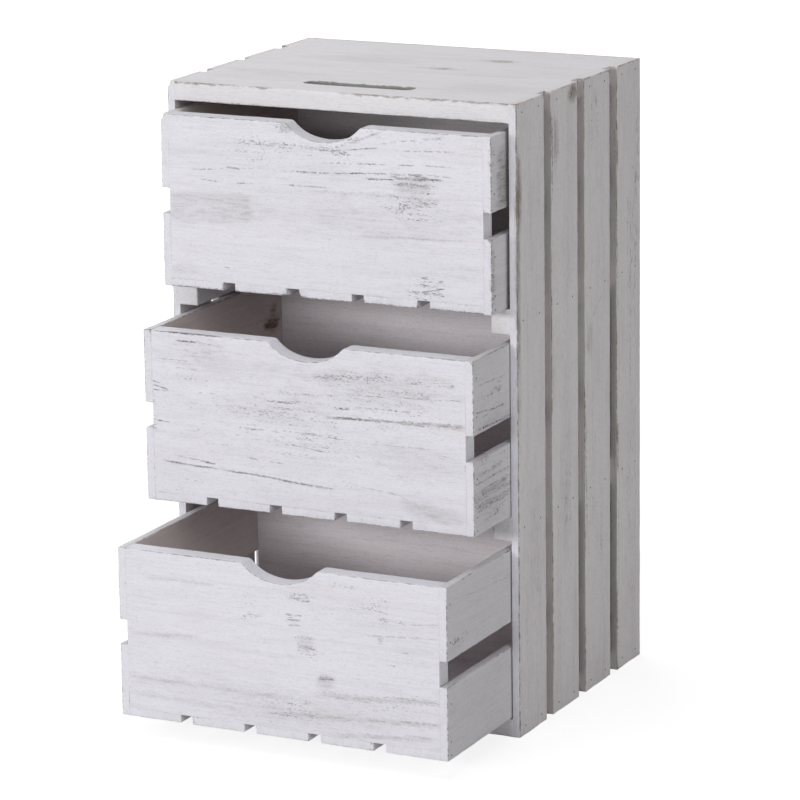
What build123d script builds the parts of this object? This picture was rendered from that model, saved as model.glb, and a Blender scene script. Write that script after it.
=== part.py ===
from build123d import *
import os
from math import sqrt

# A free-standing chest of slatted wood with three drawers that slide on plain wooden runners.
# Lengths are in millimetres. X points right, Y to the back and Z up. The origin is on the floor,
# under the middle of the cabinet. The drawers stand open, each by its own length.

# Cabinet
chest_width = 360.0
chest_depth = 287.0
bay_height = 172.0
bay_count = 3
board_thickness = 18.0
back_panel_thickness = 4.0

# Upright side slats, counted from the front
slat_thickness = 7.5
front_slat_width = 61.2
rear_slat_width = 57.0
front_slat_gap = 15.5
middle_slat_gap = 16.0
rear_slat_gap = 17.0

# Runners that carry the two upper drawers
runner_width = 19.0
runner_height = 24.0

# Hand slot through the top board
hand_slot_length = 114.0
hand_slot_width = 19.0
hand_slot_setback = 44.0

# Drawers
panel_thickness = 18.0
side_board_thickness = 8.0
side_board_gap = 24.0
bottom_slat_thickness = 8.0
bottom_slat_gap = 12.25
bottom_slat_count = 5
side_clearance = 2.5
running_clearance = 0.3
head_clearance = 7.7
rear_clearance = 5.0

# How far each drawer stands open, and how it lies in its bay as shares of the side clearance
bottom_drawer_open = 137.0
middle_drawer_open = 78.0
top_drawer_open = 30.0
sideways_shares = {"bottom": 0.4, "middle": 0.6, "top": -0.6}

# Finger scoop in the top edge of each drawer front: part of an ellipse centred above that edge
scoop_width = 76.0
scoop_depth = 16.0
scoop_rise = 10.0
scoop_shoulder = 4.0

# Headless nails, driven flush
nail_radius = 0.7
nail_length = 22.0
nail_clearance = 0.05
slat_nail_inset = 12.5
side_nail_inset = 17.0
bottom_nail_inset = 12.0
back_nail_count = 5
side_nail_depth_share = 0.4
bottom_nail_depth_share = 0.65

# Softened edges of every board, and the length by which a cut runs past its piece
edge_round = 1.0
edge_round_limit_share = 0.3
overrun = 2.0

# Sizes that follow
chest_height = 2 * board_thickness + bay_count * bay_height + (bay_count - 1) * runner_height
inner_width = chest_width - 2 * slat_thickness
inner_depth = chest_depth - back_panel_thickness
front_face = -chest_depth / 2
slat_gaps = (front_slat_gap, middle_slat_gap, rear_slat_gap)
middle_slats_width = chest_depth - sum(slat_gaps) - front_slat_width - rear_slat_width
middle_slat_width = middle_slats_width / (len(slat_gaps) - 1)
slat_widths = (front_slat_width, middle_slat_width, middle_slat_width, rear_slat_width)
drawer_width = inner_width - 2 * side_clearance
drawer_depth = inner_depth - rear_clearance
drawer_height = bay_height - running_clearance - head_clearance
drawer_inner_width = drawer_width - 2 * side_board_thickness
side_board_height = (drawer_height - side_board_gap) / 2
bottom_slat_width = (drawer_inner_width - (bottom_slat_count - 1) * bottom_slat_gap) / bottom_slat_count

SLAT_NAMES = ("front", "second", "third", "rear")
SIDES = {"left": -1, "right": 1}
drawer_openings = {"bottom": bottom_drawer_open, "middle": middle_drawer_open, "top": top_drawer_open}


def softened(piece):
    """Round the edges of a piece, by less where the piece is thin."""
    thinnest = min(tuple(piece.bounding_box().size))
    return fillet(piece.edges(), min(edge_round, thinnest * edge_round_limit_share))


def board(low, high):
    """A board with softened edges that fills the box between two opposite corners."""
    size = [b - a for a, b in zip(low, high)]
    middle = [(a + b) / 2 for a, b in zip(low, high)]
    return softened(Pos(*middle) * Box(*size))


def nail(head, direction, radius=nail_radius, length=nail_length):
    """A nail whose flat end lies at head and which is driven in along direction."""
    seat = Plane(origin=head, z_dir=direction)
    return seat * Cylinder(radius, length, align=(Align.CENTER, Align.CENTER, Align.MIN))


def nail_hole(head, direction):
    """The hole that a nail sits in, open at the face that it was driven through."""
    start = Vector(*head) - Vector(*direction) * overrun
    return nail(start, direction, nail_radius + nail_clearance, overrun + nail_length + nail_clearance)


def drilled(piece, nails):
    """Take out of a piece the holes of the nails that reach it."""
    extent = piece.bounding_box()
    holes = [nail_hole(*place) for place in nails]
    reached = [hole for hole in holes if extent.overlaps(hole.bounding_box())]
    return piece - reached if reached else piece


def save(pieces, nails, nail_node):
    """Write every piece with its nail holes, and all the nails as one group of solids."""
    for node, piece in pieces.items():
        export_step(drilled(piece, nails), f"parts/{node}.step")
    export_step(Compound(children=[nail(*place) for place in nails]), f"parts/{nail_node}.step")


def bay_floor(index):
    """Height of the surface that the drawer in a bay slides on, counted from the bottom bay."""
    return board_thickness + index * (bay_height + runner_height)


def slat_spans():
    """Front and back of each upright slat, from the front of the cabinet to its back."""
    spans = []
    start = front_face
    for width, gap in zip(slat_widths, (*slat_gaps, 0.0)):
        spans.append((start, start + width))
        start += width + gap
    return spans


def top_board(low_z):
    """The top board, with a round-ended hand slot near its front edge."""
    middle_y = front_face + inner_depth / 2
    outline = Pos(0, middle_y) * Rectangle(inner_width, inner_depth)
    slot = Pos(0, front_face + hand_slot_setback) * SlotOverall(hand_slot_length, hand_slot_width)
    return softened(Pos(0, 0, low_z) * extrude(outline - slot, board_thickness))


def cabinet():
    """The fixed pieces: boards, slats, runners, back panel and the nails that hold them."""
    half_inner = inner_width / 2
    inner_back = front_face + inner_depth
    pieces = {
        "bottom_board": board((-half_inner, front_face, 0), (half_inner, inner_back, board_thickness)),
        "top_board": top_board(chest_height - board_thickness),
        "back_panel": board((-half_inner, inner_back, 0), (half_inner, chest_depth / 2, chest_height)),
    }
    rows = [board_thickness / 2, chest_height - board_thickness / 2]
    nails = []
    for row in rows:
        for place in range(back_nail_count):
            across = inner_width * ((place + 1 / 2) / back_nail_count - 1 / 2)
            nails.append(((across, chest_depth / 2, row), (0, -1, 0)))
    runner_tops = {"lower": bay_floor(1), "upper": bay_floor(2)}
    rows += [top - runner_height / 2 for top in runner_tops.values()]
    for side, sign in SIDES.items():
        inside, outside = sign * half_inner, sign * chest_width / 2
        for level, top in runner_tops.items():
            across = sorted((inside, inside - sign * runner_width))
            pieces[f"{side}_{level}_runner"] = board(
                (across[0], front_face, top - runner_height), (across[1], inner_back, top))
        across = sorted((inside, outside))
        for name, (start, end) in zip(SLAT_NAMES, slat_spans()):
            pieces[f"{side}_{name}_slat"] = board((across[0], start, 0), (across[1], end, chest_height))
            for along in (start + slat_nail_inset, end - slat_nail_inset):
                nails += [((outside, along, row), (-sign, 0, 0)) for row in rows]
    return pieces, nails


def drawer_front(middle_x, front_y, low_z):
    """The thick front panel, with a finger scoop in the middle of its top edge."""
    height = drawer_height - bottom_slat_thickness
    half_height = scoop_depth + scoop_rise
    half_width = scoop_width / 2 / sqrt(1 - (scoop_rise / half_height) ** 2)
    outline = Rectangle(drawer_inner_width, height)
    outline -= Pos(0, height / 2 + scoop_rise) * Ellipse(half_width, half_height)
    shoulders = sorted(outline.vertices(), key=lambda corner: abs(corner.X))[:2]
    outline = fillet(shoulders, scoop_shoulder)
    face = Plane(origin=(middle_x, front_y, low_z + height / 2), x_dir=(1, 0, 0), z_dir=(0, -1, 0))
    return softened(extrude(face * outline, -panel_thickness))


def drawer(index, name):
    """One open drawer: front and back panels, slatted sides and bottom, and its nails."""
    middle_x = sideways_shares[name] * side_clearance
    front_y = front_face - drawer_openings[name]
    back_y = front_y + drawer_depth
    low_z = bay_floor(index) + running_clearance
    panel_z = low_z + bottom_slat_thickness
    high_z = low_z + drawer_height
    half_inner, half_outer = drawer_inner_width / 2, drawer_width / 2
    pieces = {
        f"{name}_drawer_front": drawer_front(middle_x, front_y, panel_z),
        f"{name}_drawer_back": board(
            (middle_x - half_inner, back_y - panel_thickness, panel_z),
            (middle_x + half_inner, back_y, high_z)),
    }
    nails = []
    bottom_nail_depth = panel_thickness * bottom_nail_depth_share
    for place in range(bottom_slat_count):
        left = middle_x - half_inner + place * (bottom_slat_width + bottom_slat_gap)
        right = left + bottom_slat_width
        pieces[f"{name}_drawer_bottom_slat_{place + 1}"] = board(
            (left, front_y, low_z), (right, back_y, panel_z))
        for across in (left + bottom_nail_inset, right - bottom_nail_inset):
            for along in (front_y + bottom_nail_depth, back_y - bottom_nail_depth):
                nails.append(((across, along, low_z), (0, 0, 1)))
    side_nail_depth = panel_thickness * side_nail_depth_share
    low_boards = {"lower": low_z, "upper": high_z - side_board_height}
    for side, sign in SIDES.items():
        outside = middle_x + sign * half_outer
        across = sorted((middle_x + sign * half_inner, outside))
        rows = [low_z + bottom_slat_thickness / 2]
        for level, start in low_boards.items():
            end = start + side_board_height
            pieces[f"{name}_drawer_{side}_{level}_side"] = board(
                (across[0], front_y, start), (across[1], back_y, end))
            rows += [start + side_nail_inset, end - side_nail_inset]
        for along in (front_y + side_nail_depth, back_y - side_nail_depth):
            nails += [((outside, along, row), (-sign, 0, 0)) for row in rows]
    return pieces, nails


os.makedirs("parts", exist_ok=True)
save(*cabinet(), "cabinet_nails")
for drawer_index, drawer_name in enumerate(drawer_openings):
    save(*drawer(drawer_index, drawer_name), f"{drawer_name}_drawer_nails")
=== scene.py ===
"""Dress the whitewashed drawer chest: worn boards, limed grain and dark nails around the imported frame."""

import itertools
import logging
import math
from dataclasses import dataclass, field
from enum import Enum
from typing import Dict, List, Optional, Sequence, Tuple, Union

import bmesh
import bpy
from mathutils import Matrix, Vector, noise


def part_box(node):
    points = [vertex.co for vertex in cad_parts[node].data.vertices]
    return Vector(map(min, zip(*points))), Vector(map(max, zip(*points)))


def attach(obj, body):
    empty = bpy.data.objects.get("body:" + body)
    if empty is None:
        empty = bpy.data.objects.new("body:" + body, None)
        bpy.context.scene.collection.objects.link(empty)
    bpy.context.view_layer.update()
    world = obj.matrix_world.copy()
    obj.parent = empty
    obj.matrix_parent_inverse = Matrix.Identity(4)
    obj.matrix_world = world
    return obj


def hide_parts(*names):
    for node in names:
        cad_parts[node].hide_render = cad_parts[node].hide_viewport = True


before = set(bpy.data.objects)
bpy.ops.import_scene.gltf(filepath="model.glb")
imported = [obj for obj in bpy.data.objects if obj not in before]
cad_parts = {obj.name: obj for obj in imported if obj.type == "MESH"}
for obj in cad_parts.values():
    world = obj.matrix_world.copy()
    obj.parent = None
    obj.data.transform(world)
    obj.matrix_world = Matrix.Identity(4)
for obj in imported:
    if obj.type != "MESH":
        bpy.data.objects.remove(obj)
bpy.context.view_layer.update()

LOG = logging.getLogger("drawer_chest")
MM = 0.001
SIDES = (("left", -1), ("right", 1))
LEVELS = ("lower", "upper")

Socket = bpy.types.NodeSocket
Feed = Union[Socket, float, Sequence[float]]
Sockets = Dict[str, Socket]
Colour = Tuple[float, float, float, float]
Triple = Tuple[float, float, float]
Signs = Tuple[int, int, int]
NailPlace = Tuple[Vector, Vector]


def new_object(name: str, mesh: bmesh.types.BMesh) -> bpy.types.Object:
    """Turn a finished shape into an object of the scene.

    Args:
        name: the name of the object and of its mesh.
        mesh: the shape, which is freed.

    Returns:
        The new object.
    """
    data = bpy.data.meshes.new(name)
    mesh.to_mesh(data)
    mesh.free()
    piece = bpy.data.objects.new(name, data)
    bpy.context.scene.collection.objects.link(piece)
    return piece


def stand_for(piece: bpy.types.Object, node: str, body: str) -> None:
    """Let a piece take the place of a CAD node.

    Args:
        piece: the piece.
        node: the node that it replaces.
        body: the body that it rides on.
    """
    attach(piece, body)
    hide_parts(node)


def srgb(red: float, green: float, blue: float) -> Colour:
    """Turn a colour as seen on a screen, from 0 to 255, into the linear colour that shaders take.

    Args:
        red, green, blue: the screen values.

    Returns:
        The linear colour with full opacity.
    """
    def linear(value: float) -> float:
        """One channel, from 0 to 255, made linear."""
        share = value / 255.0
        return share / 12.92 if share <= 0.04045 else ((share + 0.055) / 1.055) ** 2.4

    return (linear(red), linear(green), linear(blue), 1.0)


class Grain(Enum):
    """The axis that a board's fibres run along."""

    ACROSS = 0
    DEEP = 1
    UPRIGHT = 2


class MarkKind(Enum):
    """What a worn place on a board shows."""

    STREAK = "streak"
    SPECK = "speck"
    SMUDGE = "smudge"
    LINE = "line"
    SEAM = "seam"


@dataclass
class Graph:
    """A node tree that is being wired, with short calls for the nodes that the finishes use."""

    tree: bpy.types.NodeTree

    def add(self, kind: str, **settings: object) -> bpy.types.Node:
        """Add a node and set its options.

        Args:
            kind: the node's type name.
            settings: options of the node, by name.

        Returns:
            The new node.
        """
        node = self.tree.nodes.new(kind)
        for name, value in settings.items():
            setattr(node, name, value)
        return node

    def feed(self, target: Socket, value: Feed) -> None:
        """Link a socket to the target, or set the target's own value.

        Args:
            target: the input socket.
            value: the socket that feeds it, or a plain value.
        """
        if isinstance(value, Socket):
            self.tree.links.new(value, target)
        else:
            target.default_value = value

    def math(self, operation: str, first: Feed, second: Feed = 0.0, clamp: bool = False) -> Socket:
        """Work out one number from two.

        Args:
            operation: the Math node's operation.
            first, second: sockets or plain numbers.
            clamp: keep the result between 0 and 1.

        Returns:
            The result's socket.
        """
        node = self.add("ShaderNodeMath", operation=operation, use_clamp=clamp)
        self.feed(node.inputs[0], first)
        self.feed(node.inputs[1], second)
        return node.outputs[0]

    def plus(self, first: Feed, second: Feed) -> Socket:
        """The sum of two numbers."""
        return self.math("ADD", first, second)

    def minus(self, first: Feed, second: Feed) -> Socket:
        """The first number less the second."""
        return self.math("SUBTRACT", first, second)

    def times(self, first: Feed, second: Feed) -> Socket:
        """The product of two numbers."""
        return self.math("MULTIPLY", first, second)

    def larger(self, first: Feed, second: Feed) -> Socket:
        """The larger of two numbers."""
        return self.math("MAXIMUM", first, second)

    def vector(self, operation: str, first: Feed, second: Feed = (0.0, 0.0, 0.0)) -> Socket:
        """Work out a vector, or its length, from two vectors.

        Args:
            operation: the Vector Math node's operation.
            first, second: sockets or plain vectors.

        Returns:
            The result's socket.
        """
        node = self.add("ShaderNodeVectorMath", operation=operation)
        self.feed(node.inputs[0], first)
        self.feed(node.inputs[1], second)
        return node.outputs["Value" if operation == "LENGTH" else "Vector"]

    def split(self, value: Socket) -> List[Socket]:
        """Take a vector apart.

        Args:
            value: the vector's socket.

        Returns:
            The sockets of its three parts.
        """
        node = self.add("ShaderNodeSeparateXYZ")
        self.feed(node.inputs[0], value)
        return list(node.outputs)

    def joined(self, x: Feed, y: Feed, z: Feed) -> Socket:
        """Make a vector from its three parts.

        Args:
            x, y, z: sockets or plain numbers.

        Returns:
            The vector's socket.
        """
        node = self.add("ShaderNodeCombineXYZ")
        for target, value in zip(node.inputs, (x, y, z)):
            self.feed(target, value)
        return node.outputs[0]

    def smooth(self, value: Feed, start: Feed, end: Feed) -> Socket:
        """A soft step from 0 at start to 1 at end, which may run downwards.

        Args:
            value: the number that is judged.
            start, end: where the step begins and ends.

        Returns:
            The step's socket.
        """
        node = self.add("ShaderNodeMapRange", interpolation_type="SMOOTHSTEP")
        for name, given in (("Value", value), ("From Min", start), ("From Max", end)):
            self.feed(node.inputs[name], given)
        return node.outputs[0]

    def noise(self, place: Feed, scale: Sequence[float], detail: float = 2.0,
              roughness: float = 0.5) -> Socket:
        """Cloudy noise at a place that is scaled first.

        Args:
            place: the point's socket, in metres.
            scale: features per metre along each axis.
            detail, roughness: the noise's own options.

        Returns:
            The noise, from 0 to 1.
        """
        node = self.add("ShaderNodeTexNoise", noise_dimensions="3D")
        self.feed(node.inputs["Vector"], self.vector("MULTIPLY", place, scale))
        node.inputs["Scale"].default_value = 1.0
        node.inputs["Detail"].default_value = detail
        node.inputs["Roughness"].default_value = roughness
        return node.outputs[0]

    def mix(self, factor: Feed, first: Feed, second: Feed) -> Socket:
        """A colour between two colours.

        Args:
            factor: 0 gives the first colour and 1 the second.
            first, second: sockets or plain colours.

        Returns:
            The mixed colour's socket.
        """
        node = self.add("ShaderNodeMix", data_type="RGBA")
        self.feed(node.inputs[0], factor)
        self.feed(node.inputs[6], first)
        self.feed(node.inputs[7], second)
        return node.outputs[2]

    def attribute(self, name: str) -> bpy.types.Node:
        """A node that reads an attribute of the piece's own mesh."""
        return self.add("ShaderNodeAttribute", attribute_type="GEOMETRY", attribute_name=name)

    def effect(self, tree: bpy.types.NodeTree, **feeds: Feed) -> bpy.types.Node:
        """Place a shared effect and feed its inputs.

        Args:
            tree: the effect's node group.
            feeds: values or sockets by input name, with spaces written as underscores.

        Returns:
            The group node.
        """
        node = self.add("ShaderNodeGroup", node_tree=tree)
        for name, value in feeds.items():
            self.feed(node.inputs[name.replace("_", " ")], value)
        return node


class Effects:
    """The shader node groups that the finishes share, each built once.

    A scale says how many features there are in a metre along, across and through the fibres.
    """

    thread_scale: Triple = (24.0, 950.0, 950.0)
    row_scale: Triple = (6.0, 150.0, 150.0)
    cloud_scale: Triple = (10.0, 30.0, 30.0)
    pore_scale: Triple = (280.0, 1000.0, 1000.0)
    brush_scale: Triple = (75.0, 420.0, 420.0)
    thin_scale: Triple = (7.0, 46.0, 46.0)
    ink_scale: Triple = (80.0, 300.0, 300.0)
    rub_scale: Triple = (14.0, 36.0, 36.0)
    chip_scale: Triple = (130.0, 330.0, 330.0)
    streak_scale: Triple = (130.0, 1000.0, 1000.0)
    speck_scale: Triple = (380.0, 1100.0, 1100.0)
    wander_scale: Triple = (9.0, 30.0, 30.0)
    wander: float = 6.0 * MM
    mark_row_scale: Triple = (5.0, 240.0, 240.0)
    knot_scale: Triple = (120.0, 190.0, 0.0)
    knot_stretch: Triple = (0.6, 1.0, 0.0)
    ring_count: float = 11.0

    def __init__(self) -> None:
        """Build the groups in the order in which they use each other."""
        self.line = self.build_line()
        self.knot = self.build_knot()
        self.marks = self.build_marks()
        self.limed = self.build_limed()

    @staticmethod
    def start(name: str, takes: Dict[str, str], gives: Dict[str, str]) -> Tuple[Graph, Sockets, Sockets]:
        """Open a new group with its sockets.

        Args:
            name: the group's name.
            takes: socket type by input name.
            gives: socket type by output name.

        Returns:
            The group's graph, what it takes and what it gives.
        """
        tree = bpy.data.node_groups.new(name, "ShaderNodeTree")
        for label, kind in takes.items():
            tree.interface.new_socket(label, in_out="INPUT", socket_type=f"NodeSocket{kind}")
        for label, kind in gives.items():
            tree.interface.new_socket(label, in_out="OUTPUT", socket_type=f"NodeSocket{kind}")
        graph = Graph(tree)
        start, end = graph.add("NodeGroupInput"), graph.add("NodeGroupOutput")
        return graph, dict(start.outputs.items()), dict(end.inputs.items())

    def build_line(self) -> bpy.types.NodeTree:
        """A frayed grain line, from its distance in half widths, its strength and how broken it is.

        Returns:
            The group.
        """
        graph, takes, gives = self.start(
            "grain_line", {"Line": "Vector", "Dashes": "Float", "Fray": "Float"}, {"Mask": "Float"})
        distance, strength, broken = graph.split(takes["Line"])
        frayed = graph.math("ABSOLUTE", graph.plus(distance, takes["Fray"]))
        thin = graph.smooth(frayed, 1.2, 0.2)
        gap = graph.plus(graph.times(broken, 0.3), 0.3)
        kept = graph.smooth(takes["Dashes"], graph.minus(gap, 0.08), graph.plus(gap, 0.05))
        graph.feed(gives["Mask"], graph.times(graph.times(thin, strength), kept))
        return graph.tree

    def build_knot(self) -> bpy.types.NodeTree:
        """A knot: the fibres bend round it, and its heart and rings are dark.

        Returns:
            The group.
        """
        graph, takes, gives = self.start(
            "knot", {"Place": "Vector", "Centre": "Vector", "Radius": "Float"},
            {"Bent": "Vector", "Heart": "Float", "Rings": "Float"})
        place = takes["Place"]
        offset = graph.vector("MULTIPLY", graph.vector("SUBTRACT", place, takes["Centre"]), self.knot_stretch)
        distance = graph.math("DIVIDE", graph.vector("LENGTH", offset), takes["Radius"])
        wobble = graph.minus(graph.noise(place, self.knot_scale, 3.0, 0.6), 0.5)
        distance = graph.plus(distance, graph.times(wobble, 0.9))
        fall = graph.smooth(distance, 3.2, 0.0)
        bend = graph.vector("MULTIPLY", offset, graph.joined(0.0, graph.times(fall, -0.8), 0.0))
        graph.feed(gives["Bent"], graph.vector("ADD", place, bend))
        graph.feed(gives["Heart"], graph.smooth(distance, 1.0, 0.2))
        wave = graph.math("SINE", graph.times(distance, self.ring_count))
        rings = graph.times(graph.smooth(wave, 0.2, 0.95), graph.smooth(distance, 2.2, 0.7))
        graph.feed(gives["Rings"], rings)
        return graph.tree

    def build_marks(self) -> bpy.types.NodeTree:
        """Dark dashes or specks in rows, where the wash has missed the fibres, as dense as is asked.

        Returns:
            The group.
        """
        graph, takes, gives = self.start(
            "fibre_marks", {"Place": "Vector", "Scale": "Vector", "Density": "Float"}, {"Mask": "Float"})
        wander = graph.minus(graph.noise(takes["Place"], self.wander_scale), 0.5)
        shift = graph.joined(0.0, graph.times(wander, self.wander), 0.0)
        shifted = graph.vector("ADD", takes["Place"], shift)
        rows = graph.smooth(graph.noise(shifted, self.mark_row_scale, 1.0), 0.38, 0.62)
        density = graph.math("MINIMUM", takes["Density"], 1.15)
        density = graph.times(density, graph.plus(0.4, graph.times(rows, 0.7)))
        grain = graph.noise(graph.vector("MULTIPLY", shifted, takes["Scale"]), (1.0, 1.0, 1.0), 2.0, 0.6)
        threshold = graph.minus(0.73, graph.times(density, 0.19))
        mask = graph.smooth(grain, threshold, graph.plus(threshold, 0.06))
        graph.feed(gives["Mask"], graph.times(mask, graph.smooth(takes["Density"], 0.0, 0.25)))
        return graph.tree

    def build_limed(self) -> bpy.types.NodeTree:
        """Softwood under a thin white wash: soft grain, missed fibres, and bare wood on rubbed edges.

        Returns:
            The group.
        """
        values = ("Edge", "Rub", "Streaks", "Specks", "Lines", "Smudge", "Grain", "Wear", "Reach")
        colours = ("Wash", "Shade", "Warm", "Mark", "Bare")
        graph, takes, gives = self.start(
            "limed_wood",
            {"Place": "Vector", **dict.fromkeys(values, "Float"), **dict.fromkeys(colours, "Color")},
            {"Color": "Color", "Roughness": "Float", "Height": "Float"})
        threads = graph.noise(takes["Place"], self.thread_scale, 3.0, 0.6)
        rows = graph.noise(takes["Place"], self.row_scale, 3.0, 0.6)
        brush = graph.noise(takes["Place"], self.brush_scale, 3.0, 0.65)
        washed = self.washed(graph, takes, threads, rows, brush)
        missed = self.missed(graph, takes)
        marked = graph.mix(graph.math("MULTIPLY", missed, 0.78, clamp=True), washed, takes["Mark"])
        worn = self.worn(graph, takes)
        graph.feed(gives["Color"], graph.mix(worn, marked, takes["Bare"]))
        rough = graph.plus(0.64, graph.times(threads, 0.2))
        graph.feed(gives["Roughness"], graph.plus(rough, graph.times(missed, 0.12)))
        relief = graph.plus(graph.times(threads, 0.3), graph.times(rows, 0.4))
        relief = graph.plus(relief, graph.times(brush, 0.25))
        relief = graph.minus(relief, graph.times(missed, 0.55))
        graph.feed(gives["Height"], graph.minus(relief, graph.times(worn, 0.4)))
        return graph.tree

    def washed(self, graph: Graph, takes: Sockets, threads: Socket, rows: Socket, brush: Socket) -> Socket:
        """The wash with its grain, its thin places and its smudges.

        Args:
            graph: the group's graph.
            takes: what the group takes.
            threads, rows, brush: noise at the scale of single fibres, of growth rings and of the brush.

        Returns:
            The colour before marks and wear.
        """
        cloud = graph.noise(takes["Place"], self.cloud_scale, 3.0, 0.55)
        pores = graph.noise(takes["Place"], self.pore_scale, 2.0, 0.65)
        tone: Feed = 0.0
        parts = (
            (graph.smooth(threads, 0.45, 0.72), 0.2), (graph.smooth(rows, 0.45, 0.7), 0.2),
            (graph.smooth(cloud, 0.42, 0.72), 0.2), (graph.smooth(pores, 0.5, 0.72), 0.55),
            (graph.smooth(brush, 0.48, 0.75), 0.35))
        for part, share in parts:
            tone = graph.plus(tone, graph.times(part, share))
        tone = graph.times(tone, takes["Grain"])
        patchy = graph.plus(0.7, graph.times(graph.smooth(brush, 0.38, 0.66), 0.6))
        tone = graph.plus(tone, graph.times(takes["Smudge"], patchy))
        thin = graph.smooth(graph.noise(takes["Place"], self.thin_scale, 3.0, 0.6), 0.5, 0.78)
        ground = graph.mix(graph.times(thin, 0.7), takes["Wash"], takes["Warm"])
        washed = graph.mix(graph.math("MULTIPLY", tone, 1.0, clamp=True), ground, takes["Shade"])
        deep = graph.math("MULTIPLY", graph.minus(tone, 1.0), 0.7, clamp=True)
        return graph.mix(deep, washed, takes["Bare"])

    def missed(self, graph: Graph, takes: Sockets) -> Socket:
        """Where the wash has missed the fibres: streaks, specks and lines, here darker and there paler.

        Args:
            graph: the group's graph.
            takes: what the group takes.

        Returns:
            The mask.
        """
        place = takes["Place"]
        streaks = graph.effect(self.marks, Place=place, Scale=self.streak_scale, Density=takes["Streaks"])
        specks = graph.effect(self.marks, Place=place, Scale=self.speck_scale, Density=takes["Specks"])
        found = graph.times(graph.larger(streaks.outputs["Mask"], specks.outputs["Mask"]), 0.85)
        found = graph.larger(found, takes["Lines"])
        ink = graph.smooth(graph.noise(place, self.ink_scale, 2.0, 0.6), 0.32, 0.66)
        return graph.times(found, graph.plus(graph.times(ink, 0.65), 0.35))

    def worn(self, graph: Graph, takes: Sockets) -> Socket:
        """Where the edges are rubbed down to the bare wood.

        Args:
            graph: the group's graph.
            takes: what the group takes.

        Returns:
            The mask.
        """
        rubbed = graph.noise(takes["Place"], self.rub_scale, 3.0, 0.6)
        chips = graph.noise(takes["Place"], self.chip_scale, 3.0, 0.65)
        spread = graph.times(takes["Reach"], 2.6)
        ragged = graph.plus(takes["Edge"], graph.times(graph.minus(chips, 0.5), spread))
        worn = graph.smooth(ragged, takes["Reach"], 0.0)
        bared = graph.plus(rubbed, graph.times(graph.minus(takes["Rub"], 1.0), 0.2))
        worn = graph.times(worn, graph.smooth(bared, 0.42, 0.6))
        return graph.math("MULTIPLY", worn, takes["Wear"], clamp=True)


@dataclass(frozen=True)
class Mark:
    """A worn place on a board, measured in millimetres from the board's middle along and across its fibres.

    strength says how dense or dark it is, slant how it leans, and broken how much of a line is missing. A
    patch's outline is uneven by ragged, fades over soft, and is round at a power of 2 and squarer above it.
    """

    kind: MarkKind
    along: float
    across: float
    half_length: float
    half_height: float
    strength: float = 1.0
    ragged: float = 0.9
    slant: float = 0.0
    broken: float = 0.6
    soft: float = 0.85
    power: float = 2.0


def streak(along: float, across: float, half_length: float, half_height: float, strength: float) -> Mark:
    """A patch of long dark dashes."""
    return Mark(MarkKind.STREAK, along, across, half_length, half_height, strength)


def speck(along: float, across: float, half_length: float, half_height: float, strength: float) -> Mark:
    """A patch of short dark specks."""
    return Mark(MarkKind.SPECK, along, across, half_length, half_height, strength)


def smudge(along: float, across: float, half_length: float, half_height: float, strength: float,
           slant: float = 0.0) -> Mark:
    """A patch where the wash is thin and grey."""
    return Mark(MarkKind.SMUDGE, along, across, half_length, half_height, strength, 0.6, slant)


def faded(along: float, across: float, half_length: float, half_height: float, strength: float,
          slant: float = 0.0) -> Mark:
    """A squarish patch of thin wash with crisp edges."""
    return Mark(MarkKind.SMUDGE, along, across, half_length, half_height, strength, 0.12, slant,
                soft=0.2, power=5.0)


def line(start: Tuple[float, float], end: Tuple[float, float], half_height: float, strength: float,
         broken: float, kind: MarkKind = MarkKind.LINE) -> Mark:
    """A grain line between two places.

    Args:
        start, end: its ends, along and across the fibres.
        half_height: half its width.
        strength: how dark it is.
        broken: how much of it is missing, from 0 for none to about 1.
        kind: LINE for a dark one and SEAM for a pale grey one.

    Returns:
        The mark.
    """
    length = end[0] - start[0]
    return Mark(kind, (start[0] + end[0]) / 2, (start[1] + end[1]) / 2, abs(length) / 2, half_height,
                strength, slant=(end[1] - start[1]) / length, broken=broken)


def seam(start: Tuple[float, float], end: Tuple[float, float], half_height: float, strength: float,
         broken: float) -> Mark:
    """A pale grey grain line between two places."""
    return line(start, end, half_height, strength, broken, MarkKind.SEAM)


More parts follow.
